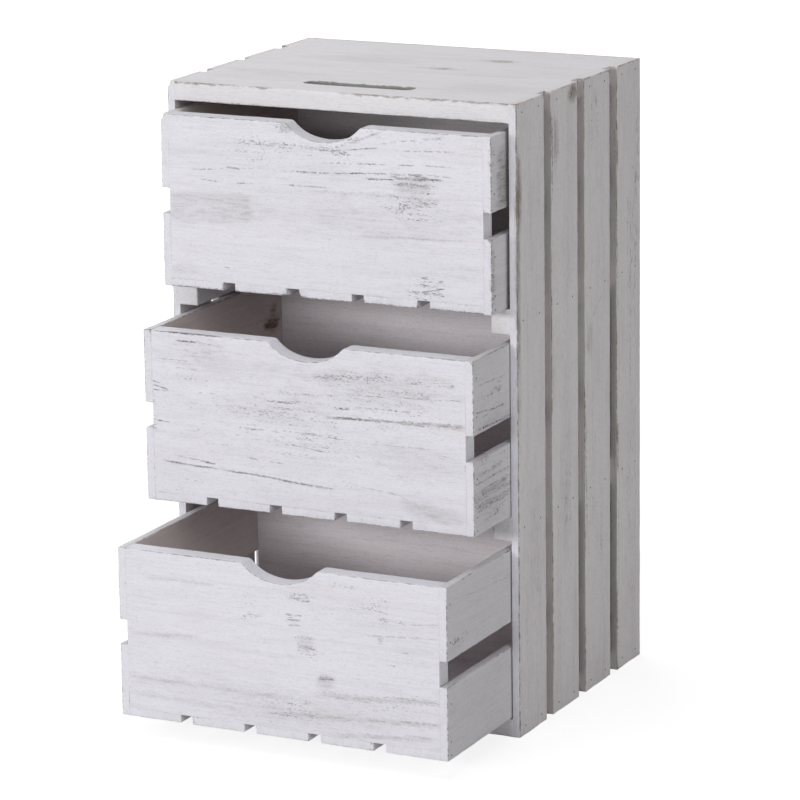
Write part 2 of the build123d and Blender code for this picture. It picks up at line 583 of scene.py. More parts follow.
class MarkMap:
    """The marks of one board, as values that the vertices of its mesh carry.

    Lengths are in millimetres. Dark lines in one layer keep apart from each other, a line counts up to near
    from its middle, and wander is how far it strays. A wave has its steps per millimetre along and across
    the board, its own cut through the noise, and its height.
    """

    line_layers: Tuple[str, ...] = ("line_a", "line_b", "line_c")
    apart: float = 9.0
    near: float = 4.1
    end_room: float = 3.0
    past_end: float = 1.1
    fading_end: float = 0.3
    no_line: Triple = (40.0, 0.0, 0.6)
    wander: float = 1.5
    wander_scale: Triple = (0.018, 0.13, 0.07)
    waves: Tuple[Tuple[float, ...], ...] = ((0.05, 0.13, 0.3, 1.0), (0.11, 0.3, 0.7, 0.5))
    patch_reach: float = 2.0
    patch_rim: float = 1.15

    def __init__(self, marks: Tuple[Mark, ...]) -> None:
        """Sort the marks, and share the dark lines out among the layers.

        Args:
            marks: the board's marks.
        """
        patchy = (MarkKind.STREAK, MarkKind.SPECK, MarkKind.SMUDGE)
        self.patches = [mark for mark in marks if mark.kind in patchy]
        self.layers: Dict[str, List[Mark]] = {name: [] for name in self.line_layers}
        for mark in marks:
            if mark.kind is MarkKind.LINE:
                room = {name: min([self.gap(mark, other) for other in kept], default=math.inf)
                        for name, kept in self.layers.items()}
                free = [name for name in self.line_layers if room[name] > self.apart]
                self.layers[free[0] if free else max(room, key=room.get)].append(mark)
        self.layers["seam"] = [mark for mark in marks if mark.kind is MarkKind.SEAM]

    def height(self, mark: Mark, along: float) -> float:
        """The middle of a line at a place along the board, with its wandering.

        Args:
            mark: the line.
            along: the place.

        Returns:
            How far across the board it lies there.
        """
        spot = zip((along, mark.across, mark.along), self.wander_scale)
        wander = noise.noise(Vector([length * scale for length, scale in spot])) * self.wander
        return mark.across + mark.slant * (along - mark.along) + wander

    def gap(self, first: Mark, second: Mark) -> float:
        """How near two lines come to each other.

        Args:
            first, second: the lines.

        Returns:
            The distance across the board, infinite if they lie past each other's ends.
        """
        start = max(first.along - first.half_length, second.along - second.half_length)
        end = min(first.along + first.half_length, second.along + second.half_length)
        if start > end + self.end_room:
            return math.inf
        places = (start, (start + end) / 2, end)
        return min(abs(self.height(first, place) - self.height(second, place)) for place in places)

    def patch(self, along: float, across: float) -> Vector:
        """The strength of the streaks, specks and smudges at a place.

        Args:
            along, across: the place on the board, from its middle.

        Returns:
            The three strengths.
        """
        found = {MarkKind.STREAK: 0.0, MarkKind.SPECK: 0.0, MarkKind.SMUDGE: 0.0}
        wobble = sum(noise.noise(Vector((along * long, across * wide, cut))) * height
                     for long, wide, cut, height in self.waves)
        for mark in self.patches:
            out = abs(along - mark.along) / mark.half_length
            off = abs(across - mark.across - mark.slant * (along - mark.along)) / mark.half_height
            if max(out, off) > self.patch_reach:
                continue
            reach = (out ** mark.power + off ** mark.power) ** (1 / mark.power)
            share = (self.patch_rim - reach - wobble * mark.ragged * 0.5) / mark.soft
            share = min(1.0, max(0.0, share))
            found[mark.kind] += mark.strength * share * share * (3 - 2 * share)
        return Vector(found.values())

    def nearest(self, layer: str, along: float, across: float) -> Vector:
        """The nearest line of a layer at a place.

        Args:
            layer: the layer's name.
            along, across: the place on the board, from its middle.

        Returns:
            The distance in half widths, the strength there, and how broken the line is.
        """
        best = Vector(self.no_line)
        for mark in self.layers[layer]:
            ends = abs(along - mark.along) / mark.half_length
            offset = across - self.height(mark, along)
            if ends < self.past_end and abs(offset / mark.half_height) < abs(best.x):
                share = min(1.0, max(0.0, (1 - ends) / self.fading_end)) if abs(offset) < self.near else 0.0
                best = Vector((offset / mark.half_height, mark.strength * share, mark.broken))
        return best


@dataclass(frozen=True)
class Knot:
    """A knot in a board, measured in millimetres from the board's middle."""

    along: float
    across: float
    radius: float
    darkness: float = 0.6


@dataclass(frozen=True)
class Limewash:
    """A white wash on a board: its colours, how much grain and wear show, and its knots.

    streaks and specks say how strong the scattered marks are, which come in clouds. dash_scale and fray_scale
    are the sizes at which grain lines break up, and seed_step sets the boards' grain apart.
    """

    name: str
    wash: Colour = srgb(239, 238, 244)
    shade: Colour = srgb(205, 202, 206)
    warm: Colour = srgb(233, 228, 228)
    mark: Colour = srgb(92, 91, 95)
    bare: Colour = srgb(126, 120, 115)
    grain: float = 0.75
    streaks: float = 0.3
    specks: float = 0.4
    wear: float = 0.8
    reach: float = 1.5 * MM
    knots: Tuple[Knot, ...] = ()
    ring_darkness: float = 0.35
    specular: float = 0.25
    bump: float = 0.4
    bump_depth: float = 0.5 * MM
    seed_step: Triple = (7.1, 3.7, 1.9)
    streak_clouds: Triple = (7.0, 24.0, 24.0)
    speck_clouds: Triple = (13.0, 30.0, 30.0)
    speck_shift: Triple = (0.37, 0.11, 0.23)
    dash_scale: Triple = (210.0, 420.0, 420.0)
    fray_scale: Triple = (330.0, 700.0, 700.0)
    fray: float = 2.6

    def material(self, effects: Effects) -> bpy.types.Material:
        """The finish as a material, made on first use.

        Args:
            effects: the shared node groups.

        Returns:
            The material.
        """
        known = bpy.data.materials.get(self.name)
        if known is not None:
            return known
        material = bpy.data.materials.new(self.name)
        material.use_nodes = True
        graph = Graph(material.node_tree)
        shader = material.node_tree.nodes["Principled BSDF"]
        shader.inputs["Specular IOR Level"].default_value = self.specular
        seed = graph.attribute("board_seed").outputs["Fac"]
        bent, heart = self.bend(graph, effects, graph.attribute("grain_at").outputs["Vector"])
        shift = graph.vector("MULTIPLY", graph.joined(seed, seed, seed), self.seed_step)
        place = graph.vector("ADD", bent, shift)
        levels = self.levels(graph, effects, place)
        wood = graph.effect(
            effects.limed, Place=place, Edge=graph.attribute("edge").outputs["Fac"],
            Rub=graph.attribute("rub").outputs["Fac"], Streaks=levels[MarkKind.STREAK],
            Specks=levels[MarkKind.SPECK], Lines=levels[MarkKind.LINE],
            Smudge=graph.plus(levels[MarkKind.SMUDGE], heart),
            Grain=self.grain, Wear=self.wear, Reach=self.reach,
            Wash=self.wash, Shade=self.shade, Warm=self.warm, Mark=self.mark, Bare=self.bare)
        graph.feed(shader.inputs["Base Color"], wood.outputs["Color"])
        graph.feed(shader.inputs["Roughness"], wood.outputs["Roughness"])
        bump = graph.add("ShaderNodeBump")
        bump.inputs["Strength"].default_value = self.bump
        bump.inputs["Distance"].default_value = self.bump_depth
        graph.feed(bump.inputs["Height"], wood.outputs["Height"])
        graph.feed(shader.inputs["Normal"], bump.outputs["Normal"])
        return material

    def bend(self, graph: Graph, effects: Effects, local: Socket) -> Tuple[Socket, Feed]:
        """Bend the fibres round the board's knots.

        Args:
            graph: the material's graph.
            effects: the shared node groups.
            local: the point on the board.

        Returns:
            The bent point, and how dark the knots make it.
        """
        heart: Feed = 0.0
        for knot in self.knots:
            centre = (knot.along * MM, knot.across * MM, 0.0)
            node = graph.effect(effects.knot, Place=local, Centre=centre, Radius=knot.radius * MM)
            local = node.outputs["Bent"]
            dark = graph.plus(node.outputs["Heart"], graph.times(node.outputs["Rings"], self.ring_darkness))
            heart = graph.plus(heart, graph.times(dark, knot.darkness))
        return local, heart

    def levels(self, graph: Graph, effects: Effects, place: Socket) -> Dict[MarkKind, Socket]:
        """How strong each kind of mark is all over the board: scattered clouds plus what the mesh carries.

        Args:
            graph: the material's graph.
            effects: the shared node groups.
            place: the point with the board's own offset, for the clouds.

        Returns:
            The strength by kind, 0 or more; seams count as smudges.
        """
        streaked = graph.smooth(graph.noise(place, self.streak_clouds, 3.0, 0.6), 0.44, 0.72)
        shifted = graph.vector("ADD", place, self.speck_shift)
        specked = graph.smooth(graph.noise(shifted, self.speck_clouds, 3.0, 0.6), 0.42, 0.7)
        streaks, specks, smudges = graph.split(graph.attribute("marks").outputs["Vector"])
        dashes = graph.noise(place, self.dash_scale, 2.0, 0.6)
        fray = graph.times(graph.minus(graph.noise(place, self.fray_scale, 1.0), 0.5), self.fray)
        lines: Sockets = {}
        for layer in (*MarkMap.line_layers, "seam"):
            along = graph.attribute(layer).outputs["Vector"]
            lines[layer] = graph.effect(effects.line, Line=along, Dashes=dashes, Fray=fray).outputs["Mask"]
        dark = lines[MarkMap.line_layers[0]]
        for layer in MarkMap.line_layers[1:]:
            dark = graph.larger(dark, lines[layer])
        return {
            MarkKind.STREAK: graph.plus(streaks, graph.times(streaked, self.streaks)),
            MarkKind.SPECK: graph.plus(specks, graph.times(specked, self.specks)),
            MarkKind.SMUDGE: graph.plus(smudges, lines["seam"]),
            MarkKind.LINE: dark,
        }


@dataclass(frozen=True)
class NailSteel:
    """Dull dark steel with a little rust, for the ends of the nails."""

    name: str = "dark_nail_steel"
    dark: Colour = srgb(62, 58, 56)
    rust: Colour = srgb(104, 84, 70)
    rust_scale: Triple = (900.0, 900.0, 900.0)
    metallic: float = 0.6

    def material(self) -> bpy.types.Material:
        """The finish as a material.

        Returns:
            The material.
        """
        material = bpy.data.materials.new(self.name)
        material.use_nodes = True
        graph = Graph(material.node_tree)
        shader = material.node_tree.nodes["Principled BSDF"]
        spots = graph.noise(graph.add("ShaderNodeTexCoord").outputs["Object"], self.rust_scale)
        rusty = graph.mix(graph.smooth(spots, 0.4, 0.65), self.dark, self.rust)
        graph.feed(shader.inputs["Base Color"], rusty)
        graph.feed(shader.inputs["Roughness"], graph.plus(0.45, graph.times(spots, 0.3)))
        shader.inputs["Metallic"].default_value = self.metallic
        return material


@dataclass
class Board:
    """One wooden board: a box of the frame with softened, rubbed edges and grain along one axis.

    Faces and edges are named by the signs of the axes that they lie towards. edges says how worn an edge is:
    1 for plain wear, more for a rubbed one, and 0 for one that meets another board flush; flush names faces
    whose four edges all do. bared says how much of an edge's wash is gone: 1 for a part of it and 2 for
    nearly all. faces names the faces whose finish isn't the outside one. marks lie on the side of the board's
    thickness that shown names. arris is the radius of a plainly worn edge and crisp its share where boards
    meet. cell is the spacing of the mesh, and fine_cell that of a board with blunt corners. Wear along an
    edge comes in long and short waves, never below least_worn. Angles above crease, in degrees, stay sharp.
    edge_reach and face_reach say how near an edge or a face a point counts as on it, in radii of an edge.
    """

    node: str
    body: str
    slot: str
    grain: Grain
    outside: bpy.types.Material
    faces: Dict[Signs, bpy.types.Material] = field(default_factory=dict)
    flush: Tuple[Signs, ...] = ()
    edges: Dict[Signs, float] = field(default_factory=dict)
    bared: Dict[Signs, float] = field(default_factory=dict)
    marks: Tuple[Mark, ...] = ()
    shown: int = 1
    seed: float = 0.0
    arris: float = 1.1 * MM
    crisp: float = 0.1
    cell: float = 4.0 * MM
    fine_cell: float = 2.0 * MM
    seed_step: Triple = (5.3, 3.1, 1.7)
    long_waves: float = 45.0
    short_waves: float = 160.0
    wave_height: float = 0.9
    mean_worn: float = 0.75
    least_worn: float = 0.35
    crease: float = 50.0
    facing: float = 0.8
    edge_reach: float = 1.02
    face_reach: float = 1.2
    touching: float = 0.01 * MM

    def __post_init__(self) -> None:
        """Read the board's box from the frame and settle how worn each of its edges is."""
        self.low, self.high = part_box(self.node)
        self.size = self.high - self.low
        self.centre = (self.high + self.low) / 2
        self.blunt = BLUNT_CORNERS.get(self.node, {})
        rest = [axis for axis in range(3) if axis != self.grain.value]
        rest.sort(key=lambda axis: -self.size[axis])
        self.axes = (self.grain.value, rest[0], rest[1])
        signs = [s for s in itertools.product((-1, 0, 1), repeat=3) if s.count(0) == 1]
        met = [s for s in signs for face in self.flush if any(a and a == b for a, b in zip(s, face))]
        self.worn: Dict[Signs, float] = {s: 0.0 if s in met else 1.0 for s in signs}
        self.worn.update(self.edges)

    def build(self) -> bpy.types.Object:
        """Make the board, dress it and put it in the node's place.

        Returns:
            The new object.
        """
        mesh = bmesh.new()
        self.shape(mesh)
        self.wear(mesh)
        piece = self.dress(mesh)
        LOG.info("%s: %d faces", piece.name, len(piece.data.polygons))
        return piece

    def spacing(self, axis: int) -> float:
        """How far apart the mesh is cut along an axis."""
        return self.fine_cell if self.blunt else self.cell

    def shape(self, mesh: bmesh.types.BMesh) -> None:
        """Make a box of small cells with rounded edges.

        Args:
            mesh: an empty mesh.
        """
        bmesh.ops.create_cube(mesh, size=1.0)
        bmesh.ops.scale(mesh, vec=self.size, verts=mesh.verts)
        for axis in range(3):
            long = self.size[axis] / 2
            along = [edge for edge in mesh.edges if abs((edge.verts[1].co - edge.verts[0].co)[axis]) > long]
            cuts = max(1, round(self.size[axis] / self.spacing(axis)) - 1)
            bmesh.ops.subdivide_edges(mesh, edges=along, cuts=cuts, use_grid_fill=True)
        outline = [edge for edge in mesh.edges if self.on_outline(edge)]
        bmesh.ops.bevel(mesh, geom=outline, offset=self.arris, offset_type="OFFSET", segments=3, profile=0.5,
                        affect="EDGES", material=-1, clamp_overlap=True)
        bmesh.ops.translate(mesh, vec=self.centre, verts=mesh.verts)

    def on_outline(self, edge: bmesh.types.BMEdge) -> bool:
        """Whether an edge of the plain box, still at the origin, lies on one of its twelve edges."""
        middle = (edge.verts[0].co + edge.verts[1].co) / 2
        return sum(abs(abs(middle[a]) - self.size[a] / 2) < self.touching for a in range(3)) >= 2

    def margins(self, point: Vector) -> Tuple[List[float], List[int]]:
        """How far a point lies from the nearer face along each axis, and on which side of the middle it is.

        Args:
            point: the place on the board.

        Returns:
            The three distances and the three signs.
        """
        offset = point - self.centre
        inside = [max(0.0, self.size[a] / 2 - abs(offset[a])) for a in range(3)]
        return inside, [1 if offset[a] > 0 else -1 for a in range(3)]

    def rubbing(self, edge: Signs, point: Vector) -> float:
        """How much larger than the plain radius an edge is worn at a point.

        Args:
            edge: the edge.
            point: the place on it.

        Returns:
            The factor, small where boards meet.
        """
        if not self.worn[edge]:
            return self.crisp
        spot = point + Vector(self.seed_step) * self.seed
        wave = noise.noise(spot * self.long_waves) + 0.5 * noise.noise(spot * self.short_waves)
        return self.worn[edge] * max(self.least_worn, self.mean_worn + self.wave_height * wave)

    def wear(self, mesh: bmesh.types.BMesh) -> None:
        """Make the rounding of each edge tighter or wider, within the box, and blunt the worst corners.

        Args:
            mesh: the board's mesh.
        """
        for vert in mesh.verts:
            margins, side = self.margins(vert.co)
            near = [axis for axis in range(3) if margins[axis] < self.arris * self.edge_reach]
            factors = {axis: [] for axis in near}
            for pair in itertools.combinations(near, 2):
                edge = tuple(side[axis] if axis in pair else 0 for axis in range(3))
                factor = self.rubbing(edge, vert.co)
                for axis in pair:
                    factors[axis].append(factor)
            for axis, found in factors.items():
                if found:
                    vert.co[axis] += side[axis] * margins[axis] * (1 - min(found))
        for corner, radius in self.blunt.items():
            self.round_corner(mesh, corner, radius)

    def round_corner(self, mesh: bmesh.types.BMesh, corner: Signs, radius: float) -> None:
        """Round the part of the board that lies beyond a ball set into one of its corners or edges.

        Args:
            mesh: the board's mesh.
            corner: the sign of each axis towards the corner, 0 for an axis along which an edge runs.
            radius: the ball's radius.
        """
        heart = Vector([self.centre[a] + corner[a] * (self.size[a] / 2 - radius) for a in range(3)])
        for vert in mesh.verts:
            offset = Vector([(vert.co[a] - heart[a]) * abs(corner[a]) for a in range(3)])
            if all(offset[a] * corner[a] >= 0 for a in range(3)) and offset.length > radius:
                vert.co -= offset * (1 - radius / offset.length)

    def edge_distance(self, point: Vector) -> Tuple[float, float]:
        """How far a point of the surface is from the nearest worn edge, in steps of that edge's wear.

        Args:
            point: the place on the board.

        Returns:
            The distance, large where no worn edge is near, and how bare that edge is.
        """
        margins, side = self.margins(point)
        nearest = (1.0, 1.0)
        for first, second in itertools.combinations(range(3), 2):
            edge = tuple(side[axis] if axis in (first, second) else 0 for axis in range(3))
            if self.worn[edge]:
                distance = max(margins[first], margins[second]) / self.worn[edge]
                nearest = min(nearest, (distance, self.bared.get(edge, 1.0)))
        return nearest

    def dress(self, mesh: bmesh.types.BMesh) -> bpy.types.Object:
        """Write the fibres' coordinates, choose each face's finish and make the object.

        Args:
            mesh: the finished shape, which is freed.

        Returns:
            The object that stands for the node.
        """
        at = mesh.verts.layers.float_vector.new("grain_at")
        seed = mesh.verts.layers.float.new("board_seed")
        edge = mesh.verts.layers.float.new("edge")
        rub = mesh.verts.layers.float.new("rub")
        for vert in mesh.verts:
            offset = vert.co - self.centre
            vert[at] = [offset[axis] for axis in self.axes]
            vert[seed] = self.seed
            vert[edge], vert[rub] = self.edge_distance(vert.co)
        if self.marks:
            self.carry_marks(mesh, MarkMap(self.marks))
        mesh.normal_update()
        finishes = self.finishes()
        for face in mesh.faces:
            face.smooth = True
            face.material_index = finishes.index(self.finish_of(face))
        piece = new_object(self.node + "_board", mesh)
        piece.data.set_sharp_from_angle(angle=math.radians(self.crease))
        for finish in finishes:
            piece.data.materials.append(finish)
        stand_for(piece, self.node, self.body)
        return piece

    def carry_marks(self, mesh: bmesh.types.BMesh, marks: MarkMap) -> None:
        """Write the board's marks into the shown face of its mesh.

        Args:
            mesh: the finished shape.
            marks: the marks of this board.
        """
        patches = mesh.verts.layers.float_vector.new("marks")
        layers = {name: mesh.verts.layers.float_vector.new(name) for name in marks.layers}
        depth = self.axes[2]
        face = self.size[depth] / 2 - self.arris * self.face_reach
        for vert in mesh.verts:
            if (vert.co[depth] - self.centre[depth]) * self.shown < face:
                continue
            along, across = ((vert.co[axis] - self.centre[axis]) / MM for axis in self.axes[:2])
            vert[patches] = marks.patch(along, across)
            for name, layer in layers.items():
                vert[layer] = marks.nearest(name, along, across)

    def finishes(self) -> List[bpy.types.Material]:
        """The board's materials, the outside one first."""
        return list(dict.fromkeys([self.outside, *self.faces.values()]))

    def finish_of(self, face: bmesh.types.BMFace) -> bpy.types.Material:
        """The finish that a face takes."""
        named = [finish for way, finish in self.faces.items() if face.normal.dot(Vector(way)) > self.facing]
        return named[0] if named else self.outside


@dataclass
class ScoopedFront(Board):
    """A drawer front with a finger scoop in its top edge: part of an ellipse centred above that edge.

    The face is cut into finer columns and rows, because the scoop curves there and most marks lie on it.
    """

    scoop_width: float = 76.0 * MM
    scoop_depth: float = 16.0 * MM
    scoop_rise: float = 10.0 * MM
    shoulder: float = 2.4 * MM
    column: float = 1.6 * MM
    row: float = 2.0 * MM

    def spacing(self, axis: int) -> float:
        """How far apart the mesh is cut along an axis."""
        return (self.column, self.cell, self.row)[axis]

    def drop(self, x: float) -> float:
        """How far the top edge lies below the panel's full height.

        Args:
            x: the place across the chest.

        Returns:
            The depth of the scoop there.
        """
        tall = self.scoop_depth + self.scoop_rise
        wide = self.scoop_width / 2 / math.sqrt(1 - (self.scoop_rise / tall) ** 2)
        share = (x - self.centre.x) / wide
        raw = tall * math.sqrt(1 - share ** 2) - self.scoop_rise if abs(share) < 1 else -self.scoop_rise
        beyond = (math.hypot(self.scoop_rise, self.shoulder) - self.scoop_rise) / 2
        return (raw + math.hypot(raw, self.shoulder)) / 2 - beyond

    def wear(self, mesh: bmesh.types.BMesh) -> None:
        """Wear the plain panel, then lower its columns under the scoop.

        Args:
            mesh: the board's mesh.
        """
        super().wear(mesh)
        for vert in mesh.verts:
            vert.co.z -= self.drop(vert.co.x) * (vert.co.z - self.low.z) / self.size.z

    def edge_distance(self, point: Vector) -> Tuple[float, float]:
        """The same as on a plain panel, with the scoop filled up."""
        raised = (point.z - self.low.z) * self.size.z / (self.size.z - self.drop(point.x))
        return super().edge_distance(Vector((point.x, point.y, self.low.z + raised)))


@dataclass
class SlottedTop(Board):
    """The top board with its round-ended hand slot.

    cut is the finish of the slot's walls: bare cut wood, greyed as painted shade of the recess. lip is the
    radius of its rims. The far wall is ragged, and the near one by near_share of that. rim_wear says how much
    faster than an edge the rim's wear falls off.
    """

    slot_length: float = 114.0 * MM
    slot_width: float = 19.0 * MM
    slot_setback: float = 44.0 * MM
    cut: Optional[bpy.types.Material] = None
    lip: float = 1.4 * MM
    overrun: float = 2.0 * MM
    ragged: float = 0.8 * MM
    ragged_scale: Tuple[float, float] = (300.0, 260.0)
    near_share: float = 0.2
    rim_wear: float = 2.0
    steps: int = 4
    around: int = 192

    def profile(self) -> List[Tuple[float, float]]:
        """The rings of the slot's cutter, from below the board to above it.

        Returns:
            Height and outward offset of each ring.
        """
        turns = [math.pi / 2 * step / self.steps for step in range(self.steps + 1)]
        upper = [(self.high.z - self.lip * (1 - math.sin(a)), self.lip * (1 - math.cos(a))) for a in turns]
        lower = [(self.low.z + self.high.z - z, offset) for z, offset in reversed(upper)]
        return [(self.low.z - self.overrun, self.lip), *lower, *upper, (self.high.z + self.overrun, self.lip)]

    def cutter(self) -> bpy.types.Object:
        """The solid that is taken out of the board for the slot.

        Returns:
            A new object, to be removed after the cut.
        """
        mesh = bmesh.new()
        middle = Vector((0.0, self.low.y + self.slot_setback, 0.0))
        radius = self.slot_width / 2
        straight = self.slot_length / 2 - radius
        rings = []
        profile = self.profile()
        for index, (height, offset) in enumerate(profile):
            capped = index in (0, len(profile) - 1)
            made = bmesh.ops.create_circle(mesh, cap_ends=capped, segments=self.around, radius=radius)
            for vert in made["verts"]:
                out = vert.co.normalized() * offset
                vert.co.x *= 1 + straight / radius
                vert.co.y = math.copysign(self.outline(vert.co.x), vert.co.y)
                spot = Vector((vert.co.x * self.ragged_scale[0], height * self.ragged_scale[1], 3.0))
                rough = noise.noise(spot) * self.ragged
                vert.co += out + Vector((0.0, rough if vert.co.y > 0 else rough * self.near_share, height))
            bmesh.ops.translate(mesh, vec=middle, verts=made["verts"])
            rings.append([*dict.fromkeys(edge for vert in made["verts"] for edge in vert.link_edges)])
        for first, second in zip(rings, rings[1:]):
            bmesh.ops.bridge_loops(mesh, edges=first + second)
        bmesh.ops.recalc_face_normals(mesh, faces=mesh.faces)
        return new_object("hand_slot_cutter", mesh)

    def past_straight(self, x: float) -> float:
        """How far a place along the slot lies past its straight part."""
        return max(0.0, abs(x) - self.slot_length / 2 + self.slot_width / 2)

    def outline(self, x: float) -> float:
        """Half the slot's width at a place along it."""
        return math.sqrt(max(0.0, (self.slot_width / 2) ** 2 - self.past_straight(x) ** 2))

    def wear(self, mesh: bmesh.types.BMesh) -> None:
        """Wear the edges, then cut the slot through the board.

        Args:
            mesh: the board's mesh.
        """
        super().wear(mesh)
        blank = new_object("top_blank", mesh.copy())
        tool = self.cutter()
        cut = blank.modifiers.new("hand_slot", "BOOLEAN")
        cut.operation = "DIFFERENCE"
        cut.solver = "EXACT"
        cut.object = tool
        graph = bpy.context.evaluated_depsgraph_get()
        result = bpy.data.meshes.new_from_object(blank.evaluated_get(graph))
        mesh.clear()
        mesh.from_mesh(result)
        for used in (blank, tool):
            bpy.data.objects.remove(used)

    def from_slot(self, point: Vector) -> float:
        """How far a point lies outside the slot's outline, seen from above; negative inside it."""
        away = math.hypot(self.past_straight(point.x), point.y - self.low.y - self.slot_setback)
        return away - self.slot_width / 2

    def edge_distance(self, point: Vector) -> Tuple[float, float]:
        """The distance to the slot's rim counts as well."""
        rim = max(abs(self.from_slot(point)), self.high.z - point.z)
        return min(super().edge_distance(point), (rim * self.rim_wear, 1.0))

    def finishes(self) -> List[bpy.types.Material]:
        """The slot's walls have a finish of their own."""
        return [*super().finishes(), self.cut]

    def finish_of(self, face: bmesh.types.BMFace) -> bpy.types.Material:
        """The slot's walls are bare cut wood, greyed as painted shade of the recess."""
        wall = self.from_slot(face.calc_center_median()) < self.lip and abs(face.normal.z) < 0.5
        return self.cut if wall else super().finish_of(face)


@dataclass
class Nails:
    """The nails of one sub-assembly, each with its end a hair proud of the wood and its rim bevelled.

    rim_reach says how far from the middle of the end its rim is looked for, in radii.
    """

    node: str
    body: str
    material: bpy.types.Material
    places: List[NailPlace]
    slot: str = "nails"
    radius: float = 0.85 * MM
    length: float = 21.0 * MM
    proud: float = 0.12 * MM
    taper: float = 0.6
    rim_reach: float = 1.5
    sides: int = 12

    def build(self) -> bpy.types.Object:
        """Make all the nails as one piece.

        Returns:
            The object that stands for the nails' node.
        """
        mesh = bmesh.new()
        # A dict keeps the edges in order, and one bevel for all of them gives the same mesh on each run
        rims: Dict[bmesh.types.BMEdge, None] = {}
        for head, direction in self.places:
            turn = Vector((0, 0, 1)).rotation_difference(-direction).to_matrix().to_4x4()
            middle = head + direction * (self.length / 2 - self.proud)
            made = bmesh.ops.create_cone(
                mesh, cap_ends=True, segments=self.sides, radius1=self.radius * self.taper,
                radius2=self.radius, depth=self.length, matrix=Matrix.Translation(middle) @ turn)
            for edge in itertools.chain.from_iterable(vert.link_edges for vert in made["verts"]):
                if all((vert.co - head).length < self.radius * self.rim_reach for vert in edge.verts):
                    rims[edge] = None
        bmesh.ops.bevel(mesh, geom=[*rims], offset=self.proud, segments=1, profile=0.5, affect="EDGES",
                        material=-1)
        piece = new_object(self.node + "_ends", mesh)
        piece.data.materials.append(self.material)
        stand_for(piece, self.node, self.body)
        LOG.info("%s: %d nails", piece.name, len(self.places))
        return piece


# The finishes, from the dark wood inside to the washed fronts; the darker inner copies carry painted shade
# Unpainted brown wood inside the cabinet, made darker still as painted shade of the deep interior
RAW_SHADED_WOOD = Limewash("raw_inner_wood_shaded", wash=srgb(150, 136, 126), shade=srgb(112, 98, 88),
                    warm=srgb(156, 136, 118), mark=srgb(66, 56, 50), bare=srgb(120, 104, 92), grain=1.0,
                    wear=0.2)
# Painted shade: the slot's walls are bare cut wood in a grey dark enough to stand in for the recess's shade
SHADED_SLOT_WOOD = Limewash("slot_wall_wood_shaded", wash=srgb(174, 172, 172), shade=srgb(128, 125, 124),
                    warm=srgb(162, 156, 152), mark=srgb(76, 73, 72), bare=srgb(128, 122, 118), grain=1.2,
                    streaks=0.8, specks=0.9, wear=0.3)
SLAT_WASH = Limewash("slat_wash", wash=srgb(240, 236, 238), shade=srgb(203, 196, 197),
                     warm=srgb(234, 226, 223), bare=srgb(132, 124, 111), streaks=0.3, specks=0.5, wear=0.9,
                     reach=1.4 * MM)
# Painted shade: a darker copy of the slat wash for the slats' faces inside the cabinet
SHADED_SLAT_INSIDE = Limewash("slat_inside_wash_shaded", wash=srgb(218, 214, 213), shade=srgb(182, 175, 172),
                       warm=srgb(206, 199, 194), bare=srgb(120, 108, 98), streaks=0.3, specks=0.4, wear=0.4)
# Painted shade: a darker finish for the narrow slat edges that face the gaps, standing in for the shade
# between slats
SHADED_SLAT_EDGE = Limewash("shaded_slat_edge", wash=srgb(206, 201, 200), shade=srgb(172, 165, 161),
                     warm=srgb(196, 189, 184), bare=srgb(126, 116, 106), streaks=0.2, specks=0.3, wear=0.8)
TOP_WASH = Limewash("top_wash", wash=srgb(239, 237, 240), shade=srgb(208, 204, 205),
                    bare=srgb(138, 126, 118), grain=0.6, streaks=0.1, specks=0.15, wear=0.8,
                    knots=(Knot(65, 77, 9, 0.9), Knot(32, 17, 10, 0.6)))
RUNNER_WASH = Limewash("runner_wash", wash=srgb(238, 236, 240), streaks=0.2, specks=0.3, wear=0.5)
PANEL_WASH = Limewash("back_panel_wash", wash=srgb(226, 223, 222), shade=srgb(196, 189, 184), streaks=0.3,
                      specks=0.3)
SIDE_WASH = Limewash("drawer_side_wash", wash=srgb(231, 229, 233), shade=srgb(197, 193, 195),
                     warm=srgb(227, 223, 224), streaks=0.45, specks=0.6, wear=0.9, reach=1.2 * MM)
INNER_WASH = Limewash("drawer_inner_wash", wash=srgb(242, 237, 241), shade=srgb(212, 205, 207),
                      warm=srgb(234, 226, 226), bare=srgb(128, 106, 94), grain=1.0, streaks=0.1, specks=0.1,
                      wear=0.3)
# Painted shade and painted brown bounce light: a darker, browner copy of the drawer's inner wash for its
# inner side walls
SHADED_INNER_WALL = Limewash("drawer_wall_wash_shaded", wash=srgb(226, 215, 212), shade=srgb(190, 177, 172),
                      warm=srgb(214, 199, 191), bare=srgb(112, 90, 80), streaks=0.1, specks=0.1, wear=0.3)
FRONT_WASH = Limewash("front_wash", wash=srgb(238, 237, 244), warm=srgb(235, 232, 236), reach=1.0 * MM)

